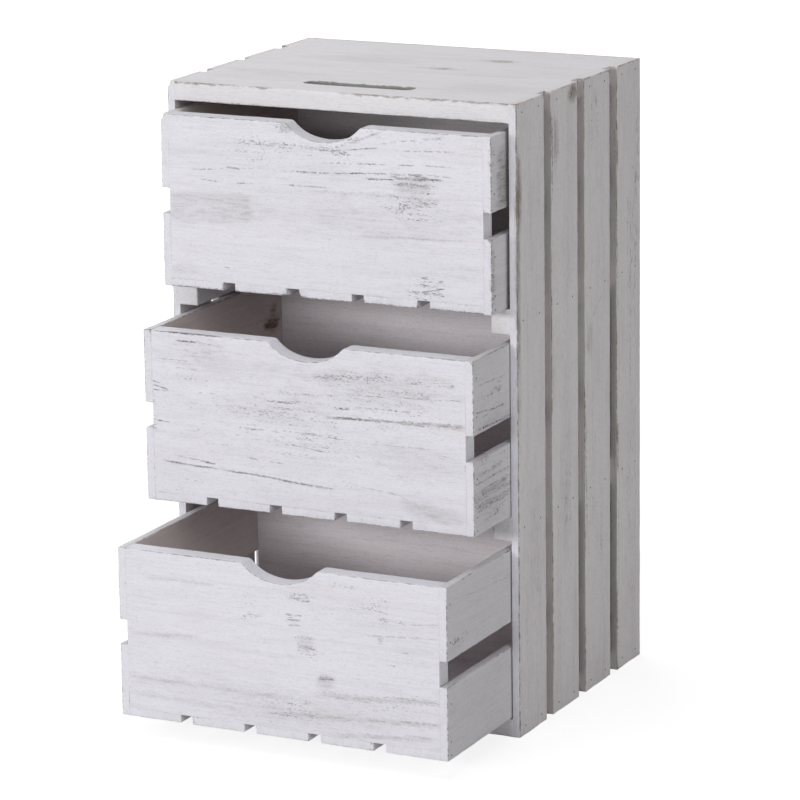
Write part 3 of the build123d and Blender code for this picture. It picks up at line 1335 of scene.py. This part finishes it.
# The worn places of each board, by its node; a left slat takes the marks of a right one
BOARD_MARKS: Dict[str, Tuple[Mark, ...]] = {
    "top_board": (
        smudge(62, 77, 24, 9, 0.6), smudge(26, 17, 34, 8, 0.5), streak(0, 17, 20, 6, 0.8),
        smudge(-60, 40, 70, 24, 0.25), smudge(-110, -60, 60, 20, 0.25),
        seam((60, -10), (140, -2), 1.6, 0.5, 0.4), streak(92, 6, 18, 8, 0.8), smudge(120, -70, 50, 30, 0.2),
        speck(96, -40, 20, 12, 0.6),
    ),
    "back_panel": (
        smudge(150, -60, 140, 40, 0.35), smudge(-140, 70, 150, 36, 0.3), smudge(-220, -90, 90, 30, 0.35),
        smudge(40, 20, 200, 22, 0.2), streak(120, 96, 110, 22, 0.9), streak(-60, -40, 130, 18, 0.8),
        streak(-230, 60, 70, 26, 0.9), speck(220, 20, 60, 36, 0.8), speck(-120, -110, 90, 24, 0.8),
        line((-280, -136), (60, -133), 0.8, 1.0, 0.55), line((20, 52), (260, 57), 0.7, 0.9, 0.6),
        seam((-250, 6), (-40, 2), 2.2, 0.6, 0.1), seam((-20, -84), (270, -78), 2.2, 0.6, 0.1),
        smudge(286, 120, 14, 40, 0.9), smudge(-288, -20, 10, 80, 0.8),
    ),
    "top_drawer_front": (
        line((-140, 27), (-102, 32), 0.7, 0.8, 0.74), line((-102, 32), (-86, 31), 1.1, 0.9, 0.35),
        line((-86, 32), (-46, 33), 0.6, 0.8, 0.76), line((-47, 32), (8, 34), 0.8, 1.2, 0.62),
        line((8, 34), (72, 37), 0.8, 1.2, 0.5), line((69, 37), (104, 39), 1.0, 1.2, 0.35),
        line((104, 39), (131, 38), 0.7, 0.9, 0.6), line((43, 31), (74, 33), 0.9, 1.3, 0.25),
        line((72, 33), (124, 35), 1.1, 1.3, 0.3), streak(90, 27, 30, 11, 1.25), streak(93, 34, 32, 8, 1.0),
        speck(91, 18, 24, 14, 1.2), speck(90, 0, 26, 9, 0.85), speck(94, 8, 46, 28, 0.45),
        smudge(92, 27, 26, 9, 0.45), smudge(92, 17, 18, 9, 0.25), speck(92, 28, 26, 9, 0.6),
        line((-136, 19), (-100, 17), 0.7, 0.8, 0.74), line((-92, 18), (-71, 19), 0.7, 1.1, 0.62),
        line((-45, 19), (6, 21), 0.7, 1.0, 0.72), line((-3, 42), (68, 46), 0.7, 1.1, 0.66),
        line((77, 46), (94, 47), 0.8, 1.1, 0.55), line((98, 47), (138, 47), 0.6, 0.8, 0.74),
        line((3, 54), (58, 60), 0.8, 1.0, 0.62), line((76, 59), (138, 62), 0.7, 0.9, 0.68),
        line((3, 55), (62, 76), 1.4, 0.7, 0.66), speck(14, 58, 14, 6, 1.0), speck(33, 66, 14, 6, 1.0),
        speck(53, 72, 11, 6, 1.1), line((59, 64), (88, 70), 1.0, 0.7, 0.66),
        line((88, 70), (125, 74), 1.2, 0.9, 0.6), speck(105, 72, 36, 7, 0.9), speck(113, 75, 11, 4, 0.6),
        speck(-8, 59, 22, 7, 0.95), line((-78, 61), (-66, 56), 0.8, 0.6, 0.5),
        line((-66, 56), (-59, 50), 0.8, 0.6, 0.5), line((-66, 41), (-59, 50), 0.8, 0.5, 0.5),
        line((-107, 39), (-97, 65), 0.9, 0.3, 0.6), speck(-72, 54, 18, 17, 0.6),
        speck(-43, 60, 16, 14, 0.7), speck(-42, 75, 12, 5, 1.5), smudge(-36, 73, 8, 4, 0.9),
        speck(2, 57, 16, 4, 1.3), speck(-12, 50, 9, 4, 1.0), speck(20, 53, 12, 4, 1.2),
        speck(-105, 56, 40, 22, 0.35), seam((27, -23), (160, -18), 1.5, 0.5, 0.25),
        seam((-20, 15), (152, 18), 1.6, 0.4, 0.3), smudge(70, -2, 110, 24, 0.22),
        line((51.5, -50), (55, -31), 1.8, 0.5, 0.4), streak(108, -60, 26, 6, 1.1),
        speck(104, -64, 34, 12, 0.5), line((95, -60), (122, -59), 0.8, 0.9, 0.6),
        streak(112, -68, 20, 7, 1.0), line((98, -70), (124, -65), 0.8, 1.2, 0.4),
        speck(104, -72, 34, 8, 0.95), faded(-122, -8, 44, 14, 0.38, 0.05), smudge(-78, -6, 30, 15, 0.25),
        speck(-118, -10, 40, 12, 0.2), smudge(-148, -68, 22, 7, 0.3),
        line((-106, -63), (-99, -64), 0.8, 0.8, 0.3),
    ),
    "middle_drawer_front": (
        line((-149, 77), (-88, 77), 1.1, 1.2, 0.3), line((-136, 70), (-108, 70), 1.0, 1.2, 0.5),
        line((-108, 70), (-88, 69), 0.7, 0.8, 0.7), speck(-111, 65, 9, 2.5, 0.9),
        line((-162, 30), (-153, 28), 0.6, 0.9, 0.4), line((-162, 25), (-144, 21), 0.8, 1.1, 0.4),
        line((-162, 20), (-144, 20), 0.7, 1.1, 0.3), line((-162, 52), (-118, 51), 0.6, 0.6, 0.55),
        line((-138, 45), (-108, 44), 0.6, 0.6, 0.6), line((-118, 22), (-93, 23), 0.8, 0.9, 0.66),
        line((-47, 21), (-13, 21), 1.2, 1.2, 0.66), line((-50, 12), (-17, 12), 0.9, 0.8, 0.6),
        line((-78, -8), (19, -5), 0.8, 0.9, 0.7), line((-22, -18), (23, -22), 0.7, 0.7, 0.5),
        line((-152, -47), (-92, -49), 0.8, 0.9, 0.2), line((-92, -49), (22, -56), 0.9, 0.85, 0.25),
        line((-142, -40), (-98, -44), 1.0, 0.7, 0.55), line((-108, -44), (-96, -45), 1.1, 1.3, 0.4),
        line((-66, -34), (-21, -37), 0.8, 0.9, 0.7), speck(-121, -60, 17, 5, 0.9),
        speck(-120, -76, 24, 2.5, 0.7), speck(46, 55, 50, 10, 0.45), speck(127, 49, 30, 9, 0.45),
        line((-6, 31), (32, 34), 0.8, 0.9, 0.62), line((32, 34), (88, 37), 0.7, 0.8, 0.7),
        line((88, 37), (162, 40), 0.7, 0.8, 0.66), line((24, 21), (58, 24), 1.2, 1.1, 0.62),
        line((58, 24), (125, 26), 1.0, 0.9, 0.68), seam((18, 12), (96, 14), 1.5, 1.4, 0.0),
        seam((86, 14), (166, 16), 2.4, 1.15, 0.0), line((24, 12.5), (70, 14), 0.8, 0.8, 0.3),
        line((70, 14), (120, 15), 0.8, 0.4, 0.6), line((0, -6), (36, -8), 0.9, 1.0, 0.66),
        seam((-154, -46.5), (-90, -49.5), 1.0, 1.2, 0.0), seam((-94, -49), (24, -56.5), 1.0, 1.1, 0.0),
        line((59, -9), (131, -8), 0.6, 0.5, 0.45), line((-8, -54), (29, -56), 0.8, 0.9, 0.35),
        line((50, -51), (94, -54), 0.7, 0.6, 0.5), line((94, -54), (117, -64), 0.7, 0.6, 0.5),
        smudge(132, -69, 40, 9, 0.6, -0.12), speck(132, -70, 34, 10, 0.4), speck(-24, 10, 70, 26, 0.5),
        speck(92, 43, 84, 28, 0.45), speck(-118, 66, 30, 7, 0.6),
        line((-164, -8), (-143, -9), 0.7, 1.0, 0.35), speck(-161, -6, 3.5, 24, 1.4),
        speck(0, 8, 180, 66, 0.4), streak(0, 0, 180, 78, 0.32), smudge(74, 46, 92, 26, 0.3),
        smudge(-30, 14, 76, 20, 0.25), smudge(118, -22, 62, 20, 0.18), smudge(-116, 62, 44, 18, 0.25),
        # This faint patch over the upper part of the front is painted shade below the top drawer, not thin
        # wash
        smudge(-40, 52, 130, 24, 0.15),
    ),
    "bottom_drawer_front": (
        line((5, 34), (24, 35), 0.8, 1.1, 0.45), line((7, 29), (22, 30.5), 0.8, 1.0, 0.5),
        line((8, 24), (21, 25), 0.8, 0.9, 0.5), streak(15, 29, 14, 11, 0.9), speck(24, 11, 10, 9, 0.9),
        speck(27, 9, 18, 17, 0.9), speck(30, 1, 12, 6, 0.9), smudge(26, 9, 11, 10, 0.4),
        line((38, -24), (55, -23), 0.9, 1.0, 0.45), streak(46, -25, 13, 11, 1.05),
        smudge(46, -27, 13, 10, 0.5), speck(45, -27, 15, 12, 1.25), speck(20, 53, 16, 7, 0.95),
        speck(-31, 32, 19, 16, 1.2), speck(-30, 46, 12, 8, 0.9), speck(100, 56, 24, 9, 0.6),
        line((78, 50), (113, 46), 0.8, 0.6, 0.55), speck(107, 40, 5, 2.5, 1.4), streak(122, 38, 11, 4, 1.0),
        line((130, 38), (165, 43), 0.8, 0.4, 0.6), line((84, 23), (165, 29), 0.9, 0.45, 0.45),
        speck(103, 21, 4, 5.5, 1.4), streak(127, 10.5, 10, 4, 1.1), speck(115, -2, 3, 2, 1.5),
        seam((30, -40), (168, -32), 3.4, 0.65, 0.0), seam((-24, -64), (168, -53), 3.2, 0.5, 0.0),
        seam((44, -76), (166, -66), 2.8, 0.5, 0.0), line((110, -33), (164, -32), 0.9, 0.6, 0.6),
        line((118, -55), (163, -53), 0.9, 0.7, 0.6), seam((-166, -47), (14, -47), 3.4, 0.35, 0.0),
        seam((-166, -62), (-36, -66), 3.0, 0.3, 0.0), seam((-161, -5), (-84, 1), 2.8, 0.35, 0.0),
        seam((-146, 52), (-60, 54), 2.4, 0.4, 0.0), speck(5, -55, 40, 24, 0.65), speck(95, 40, 54, 20, 0.5),
        speck(110, -36, 68, 11, 0.65), speck(60, 68, 26, 6, 0.8), smudge(20, -58, 170, 26, 0.2),
        speck(60, -60, 110, 18, 0.35),
    ),
    "top_drawer_right_upper_side": (
        smudge(-114, -10, 15, 42, 1.3), speck(-137, 4, 3.5, 44, 1.15), speck(-126, -28, 9, 9, 0.9),
    ),
    "top_drawer_right_lower_side": (
        speck(-137, 0, 4, 44, 1.15), speck(-134, -20, 7, 20, 0.7), smudge(-136, 0, 5, 36, 0.5),
    ),
    "middle_drawer_left_upper_side": (
        smudge(99, -9, 19, 7, 2.4), smudge(104, 4, 10, 7, 1.5), smudge(40, -4, 90, 34, 0.3),
    ),
    "middle_drawer_right_upper_side": (
        streak(-80, 1, 14, 6, 1.15), line((-134, -15), (-108, -17), 0.9, 1.2, 0.4),
        line((-108, -17), (-70, -19), 0.8, 1.0, 0.6), line((-131, -31), (-64, -33), 1.2, 1.3, 0.45),
        streak(-100, -6, 38, 16, 0.75), line((-134, 10), (-70, 8), 0.7, 0.7, 0.65),
        speck(-134, 18, 5, 6, 1.3), streak(-75, -30, 14, 4, 1.3), smudge(-84, -30, 56, 8, 0.35),
        streak(-90, -33, 44, 5, 0.8),
    ),
    "middle_drawer_right_lower_side": (
        streak(-98, 0, 62, 46, 1.15), speck(-100, -4, 60, 42, 1.15), smudge(-98, -4, 40, 30, 0.15),
        speck(-72, 30, 14, 8, 1.0),
    ),
    "bottom_drawer_right_upper_side": (
        speck(-122, -22, 14, 8, 1.3), streak(-112, -20, 28, 9, 0.9),
        seam((-132, 21), (2, 9), 0.6, 0.5, 0.6), streak(-134, 22, 6, 8, 1.0),
    ),
    "right_front_slat": (
        smudge(150, -28, 150, 4.5, 1.3), smudge(214, -25, 42, 6, 1.2), streak(205, -25, 60, 5, 0.9),
        speck(150, -27, 150, 5, 0.8), speck(100, 0, 160, 30, 0.15), smudge(-120, 6, 90, 16, 0.25),
    ),
    "right_second_slat": (
        line((283, -27.5), (193, -27.5), 0.9, 1.2, 0.35), smudge(252, -20, 28, 8, 0.7),
        speck(252, -18, 32, 11, 0.9), smudge(292, 20, 10, 13, 1.8), streak(288, 18, 10, 8, 0.6),
        line((42, -27), (20, -27), 0.8, 1.0, 0.4), smudge(-60, 2, 110, 14, 0.2),
        streak(-90, 4, 70, 12, 0.8), streak(60, -6, 70, 14, 0.5),
    ),
    "right_third_slat": (
        streak(276, -8, 26, 10, 1.1), speck(255, -4, 46, 18, 0.75),
        line((62, -21), (89, 15), 0.9, 0.8, 0.4), smudge(48, -20, 22, 9, 0.5), speck(-110, 0, 100, 28, 0.6),
        line((-20, -27), (-150, -27), 0.9, 1.2, 0.4), streak(-100, -20, 90, 8, 0.6),
        streak(120, 14, 80, 10, 0.5),
    ),
    "right_rear_slat": (
        line((245, -26.5), (195, -26.5), 0.9, 1.2, 0.3), line((190, -26.5), (40, -26.5), 0.7, 0.9, 0.55),
        line((-45, -26.5), (-103, -26.5), 1.0, 1.4, 0.4), line((-117, -26.5), (-291, -26.5), 0.8, 1.0, 0.5),
        line((185, 4), (-34, 4), 0.8, 0.8, 0.6), streak(230, 21, 60, 6, 1.1), streak(100, 10, 130, 18, 0.9),
        streak(-150, 8, 130, 18, 0.7),
    ),
}

# The corners and edges that are knocked blunt, by the board's node, and how round each is
BLUNT_CORNERS: Dict[str, Dict[Signs, float]] = {
    "left_front_slat": {(-1, -1, 1): 5.0 * MM},
    "top_drawer_left_upper_side": {(-1, -1, 1): 5.0 * MM},
    "top_drawer_bottom_slat_2": {(0, -1, -1): 2.0 * MM, (1, -1, -1): 5.0 * MM},
    "top_drawer_bottom_slat_3": {(-1, -1, -1): 3.5 * MM},
}


@dataclass
class Cabinet:
    """The fixed part of the chest: boards, slats, runners, back panel and nails.

    The worn values are for the edges of the slats: leading for the front edge of the front slat, front, back
    and inner for the other upright ones, and upper for the outside edge of the top end. slat_seeds are the
    first slat's seed, the step to the next one and what the right side adds. runner_seeds are left and right.
    """

    effects: Effects
    nail_steel: bpy.types.Material
    body: str = "cabinet"
    wood: str = "whitewashed_boards"
    slat_names: Tuple[str, ...] = ("front", "second", "third", "rear")
    slat_nail_inset: float = 12.5 * MM
    back_nail_count: int = 5
    panel_arris: float = 0.7 * MM
    leading_worn: float = 1.3
    leading_bared: float = 2.0
    front_worn: float = 0.8
    back_worn: float = 0.7
    inner_worn: float = 0.5
    upper_worn: float = 1.2
    slat_seeds: Triple = (0.05, 0.13, 0.5)
    runner_seed_step: float = 0.31
    runner_seeds: Tuple[float, float] = (0.1, 0.4)

    def build(self) -> List[bpy.types.Object]:
        """Make every piece of the cabinet.

        Returns:
            The pieces.
        """
        raw = RAW_SHADED_WOOD.material(self.effects)
        top_wash = TOP_WASH.material(self.effects)
        met = ((-1, 0, 0), (1, 0, 0), (0, 1, 0))
        boards: List[Board] = [
            SlottedTop("top_board", self.body, self.wood, Grain.ACROSS, top_wash, {(0, 0, -1): raw}, met,
                       edges={(0, -1, 1): 1.7, (0, -1, -1): 1.0}, bared={(0, -1, 1): 1.6, (0, -1, -1): 1.3},
                       marks=BOARD_MARKS["top_board"], seed=0.21, cut=SHADED_SLOT_WOOD.material(self.effects)),
            Board("bottom_board", self.body, self.wood, Grain.ACROSS, top_wash,
                  {(0, 0, 1): raw, (0, 0, -1): raw}, met, seed=0.47),
            Board("back_panel", self.body, "back_panel", Grain.UPRIGHT, PANEL_WASH.material(self.effects),
                  {(0, -1, 0): raw}, met[:2], marks=BOARD_MARKS["back_panel"], seed=0.83,
                  arris=self.panel_arris),
        ]
        for side, sign in SIDES:
            boards += self.side(side, sign)
        pieces = [board.build() for board in boards]
        pieces.append(Nails("cabinet_nails", self.body, self.nail_steel, self.nail_places()).build())
        return pieces

    def side(self, side: str, sign: int) -> List[Board]:
        """The slats and runners of one side.

        Args:
            side: left or right.
            sign: which way along X that side lies.

        Returns:
            The boards, not yet built.
        """
        boards = [self.slat(side, sign, index) for index in range(len(self.slat_names))]
        for index, level in enumerate(LEVELS):
            seed = self.runner_seed_step * index + self.runner_seeds[sign > 0]
            boards.append(Board(f"{side}_{level}_runner", self.body, "runner_wood", Grain.DEEP,
                                RUNNER_WASH.material(self.effects), flush=((sign, 0, 0),), seed=seed))
        return boards

    def slat(self, side: str, sign: int, index: int) -> Board:
        """One upright slat. Those on the left wear the marks of the right side in reverse order.

        Args:
            side: left or right.
            sign: which way along X that side lies.
            index: its place from the front.

        Returns:
            The board, not yet built.
        """
        first = index == 0
        edges = {
            (-sign, 0, 1): 0.0, (-sign, 0, -1): 0.0, (sign, 0, 1): self.upper_worn,
            (sign, -1, 0): self.leading_worn if first else self.front_worn, (sign, 1, 0): self.back_worn,
            (-sign, -1, 0): 0.0 if first else self.inner_worn, (-sign, 1, 0): self.inner_worn,
        }
        # The narrow edges facing the gaps and the faces inside the cabinet take darker copies of the wash as
        # painted shade
        shaded_edge = SHADED_SLAT_EDGE.material(self.effects)
        faces = {(-sign, 0, 0): SHADED_SLAT_INSIDE.material(self.effects), (0, 1, 0): shaded_edge,
                 (0, -1, 0): FRONT_WASH.material(self.effects) if first else shaded_edge}
        like = self.slat_names[index if sign > 0 else -1 - index]
        start, step, right = self.slat_seeds
        return Board(f"{side}_{self.slat_names[index]}_slat", self.body, self.wood, Grain.UPRIGHT,
                     SLAT_WASH.material(self.effects), faces, edges=edges,
                     bared={(sign, -1, 0): self.leading_bared} if first else {},
                     marks=BOARD_MARKS[f"right_{like}_slat"], shown=sign,
                     seed=step * index + start + (right if sign > 0 else 0.0))

    def nail_places(self) -> List[NailPlace]:
        """Where each nail's end lies and the way it was driven.

        Returns:
            The places, in the frame's own metres.
        """
        places = []
        held = ("bottom_board", "top_board", "left_lower_runner", "left_upper_runner")
        levels = [sum(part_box(node), Vector()).z / 2 for node in held]
        for side, sign in SIDES:
            for name in self.slat_names:
                low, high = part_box(f"{side}_{name}_slat")
                outside = high.x if sign > 0 else low.x
                for y in (low.y + self.slat_nail_inset, high.y - self.slat_nail_inset):
                    places += [(Vector((outside, y, z)), Vector((-sign, 0, 0))) for z in levels]
        low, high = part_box("back_panel")
        for z in levels[:2]:
            for index in range(self.back_nail_count):
                x = low.x + (high.x - low.x) * (index + 0.5) / self.back_nail_count
                places.append((Vector((x, high.y, z)), Vector((0, -1, 0))))
        return places


@dataclass
class Drawer:
    """One sliding drawer: panels, slatted sides and bottom, and nails.

    lip_bared says how bare the front's edges are, sill_worn how rubbed the front ends of the bottom slats
    are, joint_worn how open the joints on the front look, and rail_worn how rubbed an upper side board is
    below. The seeds set the grain of its boards apart.
    """

    name: str
    effects: Effects
    nail_steel: bpy.types.Material
    seed: float
    lip_bared: float
    sill_worn: float
    joint_worn: float = 0.3
    rail_worn: float = 0.7
    wood: str = "drawer_wood"
    slat_count: int = 5
    side_nail_inset: float = 17.0 * MM
    bottom_nail_inset: float = 12.0 * MM
    side_nail_depth_share: float = 0.4
    bottom_nail_depth_share: float = 0.65
    back_seed: float = 0.11
    side_seeds: Tuple[float, float] = (0.19, 0.37)
    level_seed_step: float = 0.23
    slat_seed: float = 0.5
    slat_seed_step: float = 0.07

    @property
    def body(self) -> str:
        """The body that the drawer's pieces ride on."""
        return f"{self.name}_drawer"

    def build(self) -> List[bpy.types.Object]:
        """Make every piece of the drawer.

        Returns:
            The pieces.
        """
        inner = INNER_WASH.material(self.effects)
        plain = SIDE_WASH.material(self.effects)
        white = FRONT_WASH.material(self.effects)
        front = f"{self.body}_front"
        met = ((-1, 0, 0), (1, 0, 0), (0, 0, -1))
        boards: List[Board] = [
            ScoopedFront(front, self.body, "whitewashed_boards", Grain.ACROSS, white, {(0, 1, 0): inner}, met,
                         bared={(0, -1, 1): self.lip_bared}, marks=BOARD_MARKS[front], shown=-1,
                         seed=self.seed),
            Board(f"{self.body}_back", self.body, self.wood, Grain.ACROSS, plain, {(0, -1, 0): inner}, met,
                  seed=self.seed + self.back_seed),
        ]
        for side, sign in SIDES:
            for index, level in enumerate(LEVELS):
                seed = self.seed + self.level_seed_step * index + self.side_seeds[sign > 0]
                boards.append(self.side_board(side, sign, level, white, seed))
        boards += [self.bottom_slat(index, plain, inner, white) for index in range(self.slat_count)]
        pieces = [board.build() for board in boards]
        pieces.append(Nails(f"{self.body}_nails", self.body, self.nail_steel, self.nail_places()).build())
        return pieces

    def bottom_slat(self, index: int, plain: bpy.types.Material, inner: bpy.types.Material,
                    ends: bpy.types.Material) -> Board:
        """One slat of the bottom, whose front end shows below the front panel.

        Args:
            index: its place from the left.
            plain: the finish below.
            inner: the finish above.
            ends: the finish of its end grain.

        Returns:
            The board, not yet built.
        """
        edges = {(0, -1, 1): self.joint_worn, (0, 1, 1): 0.0, (0, -1, -1): self.sill_worn}
        for outermost, sign in ((0, -1), (self.slat_count - 1, 1)):
            if index == outermost:
                edges.update({(sign, -1, 0): 0.0, (sign, 0, -1): 0.0})
        return Board(f"{self.body}_bottom_slat_{index + 1}", self.body, self.wood, Grain.DEEP, plain,
                     {(0, 0, 1): inner, (0, -1, 0): ends, (0, 1, 0): ends}, edges=edges,
                     bared={(0, -1, -1): self.sill_worn},
                     seed=self.seed + self.slat_seed_step * index + self.slat_seed)

    def side_board(self, side: str, sign: int, level: str, ends: bpy.types.Material, seed: float) -> Board:
        """One board of a slatted side.

        Args:
            side: left or right.
            sign: which way along X that side lies.
            level: lower or upper.
            ends: the finish of its end grain.
            seed: the offset of its grain.

        Returns:
            The board, not yet built.
        """
        node = f"{self.body}_{side}_{level}_side"
        edges = {(-sign, -1, 0): self.joint_worn, (-sign, 1, 0): 0.0,
                 (-sign, 0, -1): 0.0 if level == "lower" else self.rail_worn}
        # The inner faces of the side boards take the darker copy of the wash that carries painted shade
        wash, inner = SIDE_WASH.material(self.effects), SHADED_INNER_WALL.material(self.effects)
        return Board(node, self.body, self.wood, Grain.DEEP, wash,
                     {(-sign, 0, 0): inner, (0, -1, 0): ends, (0, 1, 0): ends}, edges=edges,
                     bared={(sign, -1, 0): self.lip_bared}, marks=BOARD_MARKS.get(node, ()), seed=seed)

    def nail_places(self) -> List[NailPlace]:
        """Where each nail's end lies and the way it was driven.

        Returns:
            The places, in the frame's own metres.
        """
        places = []
        front_low, front_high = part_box(f"{self.body}_front")
        thick = front_high.y - front_low.y
        back_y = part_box(f"{self.body}_back")[1].y
        side_rows, bottom_rows = (
            (front_low.y + thick * share, back_y - thick * share)
            for share in (self.side_nail_depth_share, self.bottom_nail_depth_share))
        for side, sign in SIDES:
            for level in LEVELS:
                low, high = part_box(f"{self.body}_{side}_{level}_side")
                outside = high.x if sign > 0 else low.x
                heights = [low.z + self.side_nail_inset, high.z - self.side_nail_inset]
                if level == "lower":
                    heights.append((low.z + front_low.z) / 2)
                places += [(Vector((outside, y, z)), Vector((-sign, 0, 0)))
                           for y, z in itertools.product(side_rows, heights)]
        for index in range(self.slat_count):
            low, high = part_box(f"{self.body}_bottom_slat_{index + 1}")
            for x in (low.x + self.bottom_nail_inset, high.x - self.bottom_nail_inset):
                places += [(Vector((x, y, low.z)), Vector((0, 0, 1))) for y in bottom_rows]
        return places


@dataclass(frozen=True)
class Softbox:
    """A soft rectangular lamp: where it hangs, the point that it faces, its size and its power in watts."""

    name: str
    place: Triple
    aim: Triple
    size: Tuple[float, float]
    power: float

    def hang(self) -> None:
        """Put the lamp into the scene."""
        data = bpy.data.lights.new(self.name, "AREA")
        data.shape = "RECTANGLE"
        data.size, data.size_y = self.size
        data.energy = self.power
        lamp = bpy.data.objects.new(self.name, data)
        lamp.location = self.place
        lamp.rotation_euler = (Vector(self.aim) - Vector(self.place)).to_track_quat("-Z", "Y").to_euler()
        bpy.context.scene.collection.objects.link(lamp)


@dataclass
class Studio:
    """A white studio: pale floor, soft lamps and the camera at the photograph's viewing angle.

    The floor shines by floor_glow near the chest and turns white from shadow_reach on. paper is its colour in
    the light, and shown the part of it that the camera sees beside the glow.
    """

    camera_place: Triple = (1.68402, -3.41786, 1.21269)
    camera_yaw: float = 26.3908
    camera_pitch: float = 13.8067
    camera_roll: float = -0.8044
    camera_lens: float = 182.098
    camera_far: float = 100.0
    floor_half: float = 15.0
    floor_glow: float = 0.8
    shadow_reach: float = 1.1
    paper: Colour = (0.78, 0.78, 0.78, 1.0)
    shown: Colour = (0.4, 0.4, 0.4, 1.0)
    white: Colour = (1.0, 1.0, 1.0, 1.0)
    world_strength: float = 0.12
    softboxes: Tuple[Softbox, ...] = (
        Softbox("key_softbox", (-1.0, -3.7, 1.2), (0.0, -0.15, 0.3), (3.0, 0.6), 71.0),
        Softbox("side_softbox", (3.31, -1.86, 1.7), (0.0, -0.1, 0.3), (1.8, 1.6), 33.0),
        Softbox("back_softbox", (-2.6, 2.9, 1.9), (0.0, 0.0, 0.3), (2.4, 1.6), 48.0),
        Softbox("top_softbox", (-0.4, -0.2, 3.2), (0.0, 0.0, 0.3), (2.6, 2.6), 31.0),
    )

    def build(self) -> None:
        """Make the floor, the light and the camera."""
        self.floor()
        self.world()
        for softbox in self.softboxes:
            softbox.hang()
        self.camera()
        bpy.context.scene.view_settings.view_transform = "Standard"

    @staticmethod
    def mixed(graph: Graph, factor: Feed, first: bpy.types.Node, second: bpy.types.Node) -> Socket:
        """Mix two shaders.

        Args:
            graph: the graph that they are in.
            factor: 0 gives the first shader and 1 the second.
            first, second: the shaders' nodes.

        Returns:
            The mixed shader's socket.
        """
        node = graph.add("ShaderNodeMixShader")
        for target, value in zip(node.inputs, (factor, first.outputs[0], second.outputs[0])):
            graph.feed(target, value)
        return node.outputs[0]

    def floor(self) -> None:
        """A pale sheet of paper that shows almost white and keeps the chest's shadow."""
        mesh = bmesh.new()
        bmesh.ops.create_grid(mesh, x_segments=1, y_segments=1, size=self.floor_half)
        floor = new_object("studio_floor", mesh)
        material = bpy.data.materials.new("studio_paper")
        material.use_nodes = True
        graph = Graph(material.node_tree)
        graph.tree.nodes.clear()
        paper, shown = graph.add("ShaderNodeBsdfDiffuse"), graph.add("ShaderNodeBsdfDiffuse")
        paper.inputs["Color"].default_value = self.paper
        shown.inputs["Color"].default_value = self.shown
        glow = graph.add("ShaderNodeEmission")
        away = graph.vector("LENGTH", graph.add("ShaderNodeTexCoord").outputs["Object"])
        far = graph.smooth(away, self.shadow_reach, 2 * self.shadow_reach)
        strength = graph.plus(self.floor_glow, graph.times(far, 1 - self.floor_glow))
        graph.feed(glow.inputs["Strength"], strength)
        seen = graph.add("ShaderNodeAddShader")
        graph.feed(seen.inputs[0], shown.outputs[0])
        graph.feed(seen.inputs[1], glow.outputs[0])
        camera_ray = graph.add("ShaderNodeLightPath").outputs["Is Camera Ray"]
        surface = graph.add("ShaderNodeOutputMaterial").inputs["Surface"]
        graph.feed(surface, self.mixed(graph, camera_ray, paper, seen))
        floor.data.materials.append(material)

    def world(self) -> None:
        """Even light from all round, and a white background behind everything."""
        world = bpy.data.worlds.new("studio_world")
        bpy.context.scene.world = world
        world.use_nodes = True
        graph = Graph(world.node_tree)
        graph.tree.nodes.clear()
        path = graph.add("ShaderNodeLightPath").outputs
        seen = graph.larger(path["Is Camera Ray"], path["Is Glossy Ray"])
        seen = graph.larger(seen, path["Is Transmission Ray"])
        light, backdrop = graph.add("ShaderNodeBackground"), graph.add("ShaderNodeBackground")
        light.inputs["Color"].default_value = self.white
        light.inputs["Strength"].default_value = self.world_strength
        backdrop.inputs["Color"].default_value = self.white
        surface = graph.add("ShaderNodeOutputWorld").inputs["Surface"]
        graph.feed(surface, self.mixed(graph, seen, light, backdrop))

    def camera(self) -> None:
        """Stand the camera where the photograph was taken."""
        angles = (self.camera_yaw, self.camera_pitch, self.camera_roll)
        yaw, pitch, roll = (math.radians(angle) for angle in angles)
        level = math.cos(pitch)
        ahead = Vector((-math.sin(yaw) * level, math.cos(yaw) * level, -math.sin(pitch)))
        right = Vector((math.cos(yaw), math.sin(yaw), 0.0))
        up = right.cross(ahead)
        turned_right = right * math.cos(roll) + up * math.sin(roll)
        turned_up = up * math.cos(roll) - right * math.sin(roll)
        data = bpy.data.cameras.new("photo_camera")
        data.lens = self.camera_lens
        data.clip_end = self.camera_far
        camera = bpy.data.objects.new("photo_camera", data)
        bpy.context.scene.collection.objects.link(camera)
        turn = Matrix((turned_right, turned_up, -ahead)).transposed().to_4x4()
        camera.matrix_world = Matrix.Translation(self.camera_place) @ turn
        bpy.context.scene.camera = camera


# Each drawer's name, how bare its lip is and how worn its sill is, from the bottom up
DRAWERS = (("bottom", 1.7, 1.0), ("middle", 2.3, 1.2), ("top", 1.9, 2.0))
DRAWER_SEED, DRAWER_SEED_STEP = 0.17, 0.29


def main() -> None:
    """Build the cabinet, the drawers and the studio."""
    logging.basicConfig(level=logging.INFO, format="%(message)s")
    effects = Effects()
    steel = NailSteel().material()
    Cabinet(effects, steel).build()
    for index, (name, lip_bared, sill_worn) in enumerate(DRAWERS):
        Drawer(name, effects, steel, DRAWER_SEED + DRAWER_SEED_STEP * index, lip_bared, sill_worn).build()
    Studio().build()


if __name__ == "__main__":
    main()
